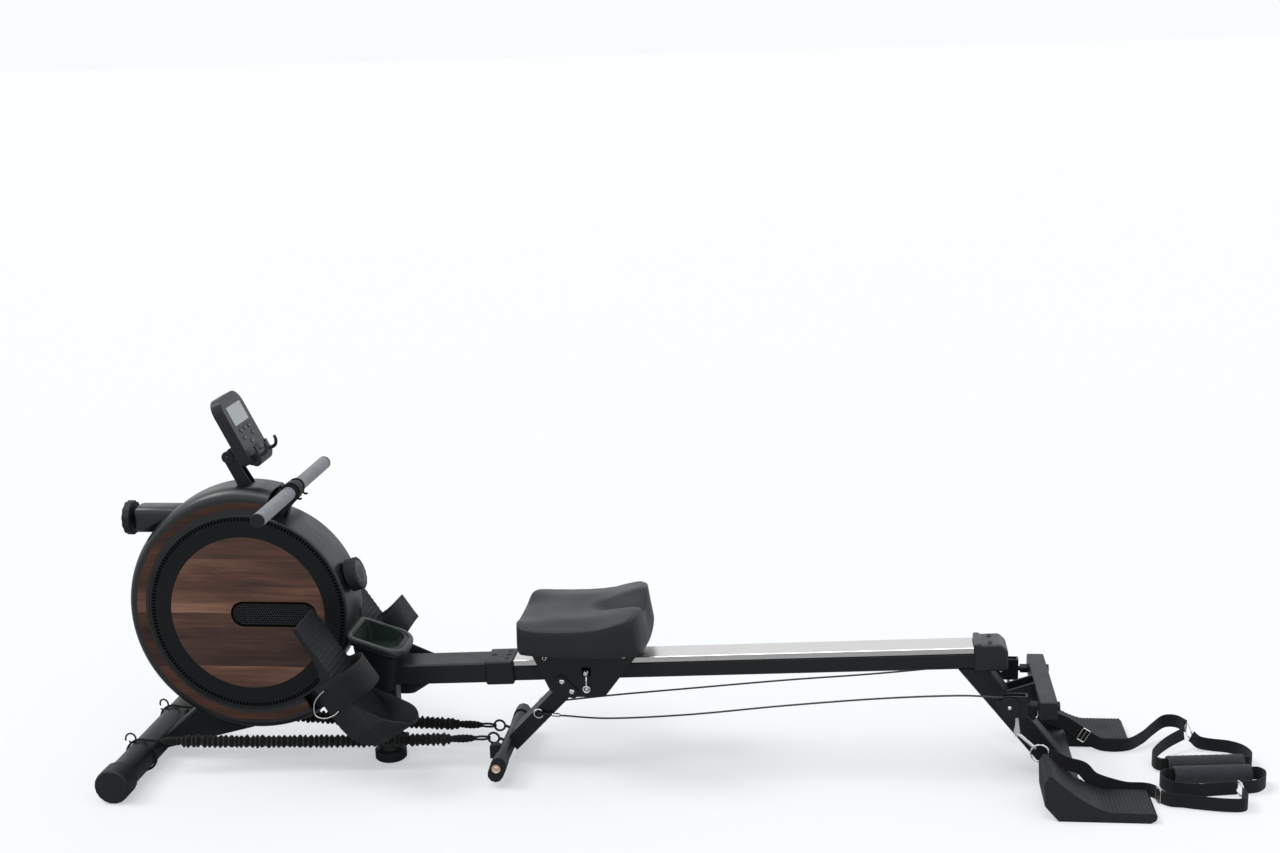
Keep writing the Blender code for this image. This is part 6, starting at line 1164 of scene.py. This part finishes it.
def grille(side, word):
    """Frame of the slot and its plate of hexagonal holes, both in the opening of the wood disc."""
    top = side * (FACE_Y + GAP)
    work = bmesh.new()
    join(work, [[work.verts.new((x, top - side * drop, z)) for x, z in stadium(inset)]
                for inset, drop in ((0.0004, 0.0014), (0.0004, 0.0002), (0.0012, 0.0), (0.0040, 0.0),
                                    (0.0048, 0.0003), (0.0054, 0.0014))], closed=True)
    add_piece("grille_frame_" + word, work, SHADE)
    work = bmesh.new()
    high, low = top - side * 0.0008, top - side * 0.0016
    pitch = 0.0053
    step = pitch * 0.866
    corners = {}

    def corner(x, z):
        key = (round(x, 5), round(z, 5))
        if key not in corners:
            corners[key] = work.verts.new((x, high, z))
        return corners[key]

    directions = [(math.cos(a), math.sin(a)) for a in around(6, 30.0)]
    for row in range(-7, 8):
        for column in range(-18, 19):
            cx = (SLOT_FRONT_X + SLOT_REAR_X) / 2 + (column + 0.5 * (row % 2)) * pitch
            cz = SLOT_Z + row * step
            nearest = min(max(cx, SLOT_FRONT_X + SLOT_HALF), SLOT_REAR_X - SLOT_HALF)
            if math.hypot(cx - nearest, cz - SLOT_Z) > 0.0240:
                continue
            rings = [[corner(cx + pitch / math.sqrt(3) * a, cz + pitch / math.sqrt(3) * b) for a, b in directions]]
            rings += [[work.verts.new((cx + pitch * size * a, y, cz + pitch * size * b)) for a, b in directions]
                      for size, y in ((0.47, high), (0.45, low))]
            join(work, rings)
    add_piece("grille_mesh_" + word, work, MESH)


def drum(side, word):
    """One half of the drum: shell, cover, vents, grille and the cover's screw."""
    drum_shell(side, word)
    drum_face(side, word)
    vent_ring(side, word)
    grille(side, word)
    turned("cover_screw_" + word, [(0.0, -0.0012), (0.0028, -0.0012), (0.0032, 0.0003), (0.0040, 0.0005),
                                   (0.0043, 0.0), (0.0, -0.0001)],
           (-0.144, side * FACE_Y, 0.473), Y_AXIS * side, BLACK, sides=18)


def dial_face():
    """Plain cap on the resistance dial with a raised ring, ticks and a pointer."""
    body = "resistance_dial"
    heading = heading_at(DIAL_ANGLE)
    centre = DRUM + heading * max((v.co - DRUM).dot(heading) for v in NODES[body].data.vertices)
    turned("dial_cap", [(0.0, -0.0006), (0.0270, -0.0006), (0.0270, 0.0004), (0.0258, 0.0009), (0.0, 0.0009)],
           centre, heading, CASE, body, "rubber", 48)
    turned("dial_ring", [(0.0172, 0.0008), (0.0172, 0.0012), (0.0180, 0.0012), (0.0180, 0.0008), (0.0172, 0.0008)],
           centre, heading, PRINT, body, "rubber", 48)
    up = heading.cross(Y_AXIS)
    work = bmesh.new()
    for k in range(9):
        angle = math.radians(-120 + 30 * k)
        out = Y_AXIS * math.sin(angle) + up * math.cos(angle)
        flat = heading.cross(out)
        low, high, half = (0.0195, 0.0240, 0.0005) if k % 4 else (0.0195, 0.0248, 0.0008)
        mark = [centre + out * r + flat * w for r, w in ((low, -half), (high, -half), (high, half), (low, half))]
        join(work, [[work.verts.new(p + heading * rise) for p in mark] for rise in (0.0008, 0.0012)], ends=True)
    add_piece("dial_ticks", work, PRINT, body, "rubber")


# Small fittings

def arm_details():
    """Bolts, cable eyes and ferrules, and the plain discs in the cross tube's caps."""
    for side, word in SIDES:
        out = Y_AXIS * side
        work = bmesh.new()
        prism(work, [(0.3660, 0.1960), (0.3665, 0.2035), (0.3720, 0.2095), (0.3790, 0.2110), (0.3850, 0.2085),
                     (0.4115, 0.1800), (0.4135, 0.1735), (0.4110, 0.1670), (0.4050, 0.1630), (0.3975, 0.1635),
                     (0.3920, 0.1665)], side * CARRIAGE_Y, side * 0.0585)
        add_piece("arm_bracket_" + word, work, COAT, "seat")
        for index, (x, z) in enumerate(((0.3800, 0.1992), (0.3995, 0.1780))):
            bolt("arm_bolt_%s_%d" % (word, index), (x, side * 0.0586, z), out, 0.0062, CHROME, "seat")
        eye, begin = cable_ends(side, word)
        wire_ring("cable_eye_" + word, eye - Vector((0.0035, 0.0, 0.0010)), out, 0.0090, 0.0021, "seat")
        bolt("cable_bolt_" + word, eye + out * 0.0065, out, 0.0052, RUBBER, "seat")
        lead = (begin - eye).normalized()
        turned("cable_ferrule_" + word, [(0.0020, 0.0), (0.0042, 0.0006), (0.0042, 0.0150), (0.0030, 0.0165),
                                         (0.0020, 0.0165), (0.0020, 0.0)],
               begin - lead * 0.0166, lead, CHROME, "seat", sides=14)
        turned("end_disc_" + word, [(0.0, 0.0), (0.0092, 0.0), (0.0090, 0.0008), (0.0068, 0.0010), (0.0062, 0.0005),
                                    (0.0042, 0.0005), (0.0038, 0.0010), (0.0, 0.0011)],
               (0.2533, side * 0.1400, 0.0430), out, COPPER, "seat", sides=32)
        for index, (x, z) in enumerate(((0.3461, 0.2480), (0.5071, 0.2545))):
            bolt("roller_bolt_%s_%d" % (word, index), (x, side * CARRIAGE_Y, z), out, 0.0064, CHROME, "seat")


def pin_details():
    """Spring pin in its dark window, with the eye bolt of its pull below."""
    work = bmesh.new()
    prism(work, [(PIN.x + a * 0.0088, PIN.z + b * 0.0088) for a, b in ((-1, -1), (1, -1), (1, 1), (-1, 1))],
          -0.0536, -0.0528)
    add_piece("pin_shadow", work, SHADE, "seat", "powder_coat")
    pin = turned("spring_pin", [(0.0, -0.0240), (0.0034, -0.0240), (0.0034, 0.0), (0.0046, 0.0015),
                                (0.0046, 0.0045), (0.0030, 0.0060), (0.0030, 0.0075), (0.0046, 0.0090),
                                (0.0050, 0.0110), (0.0040, 0.0130), (0.0, 0.0140)],
                 PIN, -Y_AXIS, CHROME, "lock_pin")
    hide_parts("lock_pin")
    wire_ring("pull_eye", (PIN.x, -0.0600, 0.1835), Y_AXIS, 0.0068, 0.0017, "seat")
    stem = [Vector((PIN.x, y, z)) for y, z in ((-0.0600, 0.1900), (-0.0600, 0.1975), (-0.0590, 0.2060),
                                              (-0.0560, 0.2105), (-0.0535, 0.2115))]
    sweep("pull_stem", stem, 0.0017, CHROME, "seat")
    bolt("pull_bolt", (PIN.x, -0.0555, 0.1835), -Y_AXIS, 0.0052, CHROME, "seat")


def sleeve_details():
    """Screws sunk in the top of the rail sleeve."""
    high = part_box("rail_sleeve")[1]
    x, slope = 0.262, 0.043
    z = high.z + 0.0002 - slope * (high.x - x)
    for index, y in enumerate((-0.020, 0.020)):
        turned("sleeve_screw_%d" % index, [(0.0, -0.0016), (0.0028, -0.0016), (0.0032, -0.0002), (0.0046, 0.0005),
                                           (0.0052, -0.0004), (0.0, -0.0006)],
               (x, y, z), (-slope, 0.0, 1.0), SHADE, slot="powder_coat", sides=16)


def front_hooks(side, word):
    """Black wire hook of the elastic cord, standing on the stabiliser beside its loop."""
    spots = []
    for k in range(31):
        t = k / 30
        angle = math.radians(200 - 330 * t)
        spots.append(on_side(STABILISER, side) + Vector((-0.022 + 0.010 * math.cos(angle), side * (0.004 - 0.008 * t),
                                                         0.0355 + 0.011 * math.sin(angle))))
    sweep("cord_hook_" + word, spots, 0.0019, RUBBER, slot="chrome")


def rear_details():
    """Screws of the rail's end cap, bosses and bolts of the pulley brackets, and the clamp on the cross tube."""
    cap = NODES["rail_end_cap"]
    for index, y in enumerate((-0.019, 0.019)):
        spot, normal = cap.ray_cast(Vector((1.2305, y, 0.40)), -Z_AXIS)[1:3]
        bolt("end_cap_screw_%d" % index, spot - normal * 0.0004, normal, 0.0052, RIM, slot="rubber")
    boss = [(0.0, 0.0), (0.0200, 0.0), (0.0200, 0.0008), (0.0192, 0.0014), (0.0, 0.0014)]
    for side, word in SIDES:
        for face_y, out, part in ((0.1105, Y_AXIS * side, "outer"), (0.0855, -Y_AXIS * side, "inner")):
            name, base = "%s_%s" % (part, word), Vector((WHEEL.x, side * face_y, WHEEL.z))
            turned("bracket_boss_" + name, boss, base, out, COAT, "pulley_" + word, sides=40)
            bolt("bracket_bolt_" + name, base + out * 0.0014, out, 0.0042, CHROME, "pulley_" + word)
    work = bmesh.new()
    prism(work, [(0.2250, 0.0300), (0.2250, 0.0560), (0.2400, 0.0600), (0.2460, 0.0560), (0.2460, 0.0300)],
          -0.0460, -0.0620)
    add_piece("cross_tube_clamp", work, RUBBER, "seat")


def holder_rim():
    """Rounded lip around the bottle holder's sloping mouth, and the lining of its pocket."""
    front, rear, half, high, low = -0.060, 0.052, 0.060, 0.290, 0.253

    def ring(work, front_in, rear_in, side_in, drop, corner, level=None):
        start, end, wide = front + front_in, rear - rear_in, half - side_in
        tail = wide * 0.55
        spots = []
        for cx, cy, r, first in ((start + corner, corner - wide, corner, 180), (end - tail, tail - wide, tail, 270),
                                 (end - tail, wide - tail, tail, 0), (start + corner, wide - corner, corner, 90)):
            for k in range(11):
                a = math.radians(first + 9 * k)
                x, y = cx + r * math.cos(a), cy + r * math.sin(a)
                share = (min(max(x, front), rear) - front) / (rear - front)
                spots.append(work.verts.new((x, y, high + (low - high) * share + drop if level is None else level)))
        return spots

    work = bmesh.new()
    join(work, [ring(work, inward, inward, inward, drop, 0.018)
                for inward, drop in ((0.0, -0.010), (-0.0022, -0.0085), (-0.0026, -0.0020), (-0.0014, 0.0012),
                                     (0.0036, 0.0014), (0.0052, 0.0006), (0.0056, -0.0040), (0.0048, -0.0060))])
    add_piece("holder_lip", work, RIM, smooth=60.0)
    work = bmesh.new()
    rings = [ring(work, 0.0112, 0.0145, 0.0100, -0.0012, 0.008),
             ring(work, 0.0188, 0.0270, 0.0126, 0.0, 0.008, 0.2412)]
    join(work, rings)
    work.faces.new(rings[-1])
    add_piece("holder_lining", work, GREEN, smooth=60.0)


# Stage

def floor():
    """The pale floor, shown at one even tone to the camera."""
    f = Finish("studio_floor", (0.80, 0.82, 0.84), 0.95, specular=0.05)
    path = f.node("ShaderNodeLightPath").outputs
    seen = path["Is Camera Ray"]
    shown = f.mix(f.noise(0.6, 2.0), (0.478, 0.488, 0.495), (0.483, 0.493, 0.500))
    dim = f.mix(path["Is Glossy Ray"], (0.80, 0.82, 0.84), (0.42, 0.425, 0.43))
    f.colour(f.mix(seen, dim, shown))
    f.shader.inputs["Emission Color"].default_value = (0.955, 0.978, 1.0, 1.0)
    f.feed(f.shader.inputs["Emission Strength"], f.times(seen, 0.48))
    work = bmesh.new()
    half = 60.0
    work.faces.new([work.verts.new((a * half, b * half, -0.0006)) for a, b in ((-1, -1), (1, -1), (1, 1), (-1, 1))])
    add_piece("floor", work, f, None)


def studio():
    """Floor, sky and lamps."""
    floor()
    world = bpy.data.worlds.new("studio")
    bpy.context.scene.world = world
    world.use_nodes = True
    tree = world.node_tree
    tree.nodes.clear()

    def node(kind, inputs, operation=None):
        made = tree.nodes.new("ShaderNode" + kind)
        if operation:
            made.operation = operation
        for key, value in inputs.items():
            if isinstance(value, bpy.types.NodeSocket):
                tree.links.new(value, made.inputs[key])
            else:
                made.inputs[key].default_value = value
        return made.outputs

    path = node("LightPath", {})
    seen = node("Math", {0: path["Is Camera Ray"], 1: path["Is Glossy Ray"]}, "MAXIMUM")[0]
    either = node("Math", {0: seen, 1: path["Is Transmission Ray"]}, "MAXIMUM")[0]
    plain = node("Background", {"Color": (0.93, 0.96, 1.0, 1.0), "Strength": 0.44})[0]
    shown = node("Background", {"Color": (0.955, 0.978, 0.992, 1.0), "Strength": 1.0})[0]
    node("OutputWorld", {0: node("MixShader", {0: either, 1: plain, 2: shown})[0]})
    for name, energy, angle, spot in (("sky_lamp", 0.55, 75.0, (0.15, -0.20, 1.0)),
                                      ("top_lamp", 0.50, 24.0, (-0.10, -0.40, 1.0)),
                                      ("side_lamp", 1.15, 24.0, (-0.60, 0.0, 0.80)),
                                      ("front_lamp", 0.20, 50.0, (0.5, -1.0, 0.7))):
        data = bpy.data.lights.new(name, "SUN")
        data.energy = energy
        data.angle = math.radians(angle)
        lamp = bpy.data.objects.new(name, data)
        bpy.context.scene.collection.objects.link(lamp)
        lamp.rotation_mode = "QUATERNION"
        lamp.rotation_quaternion = Vector(spot).to_track_quat("Z", "Y")
    bpy.context.scene.view_settings.view_transform = "Standard"


camera()
dress_frame()
seat()
for hand, title in SIDES:
    bungee(hand, title)
    cable(hand, title)
    for piece, line, held in strap(hand, title):
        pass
    handle_foam(hand, title)
    pedal(hand, title)
    pedal_strap(hand, title)
    drum(hand, title)
    front_hooks(hand, title)
pull_strap()
console_face()
console_fittings()
nose_tube()
bar_rest()
rear_details()
arm_details()
pin_details()
sleeve_details()
bar_loops()
holder_rim()
dial_face()
studio()
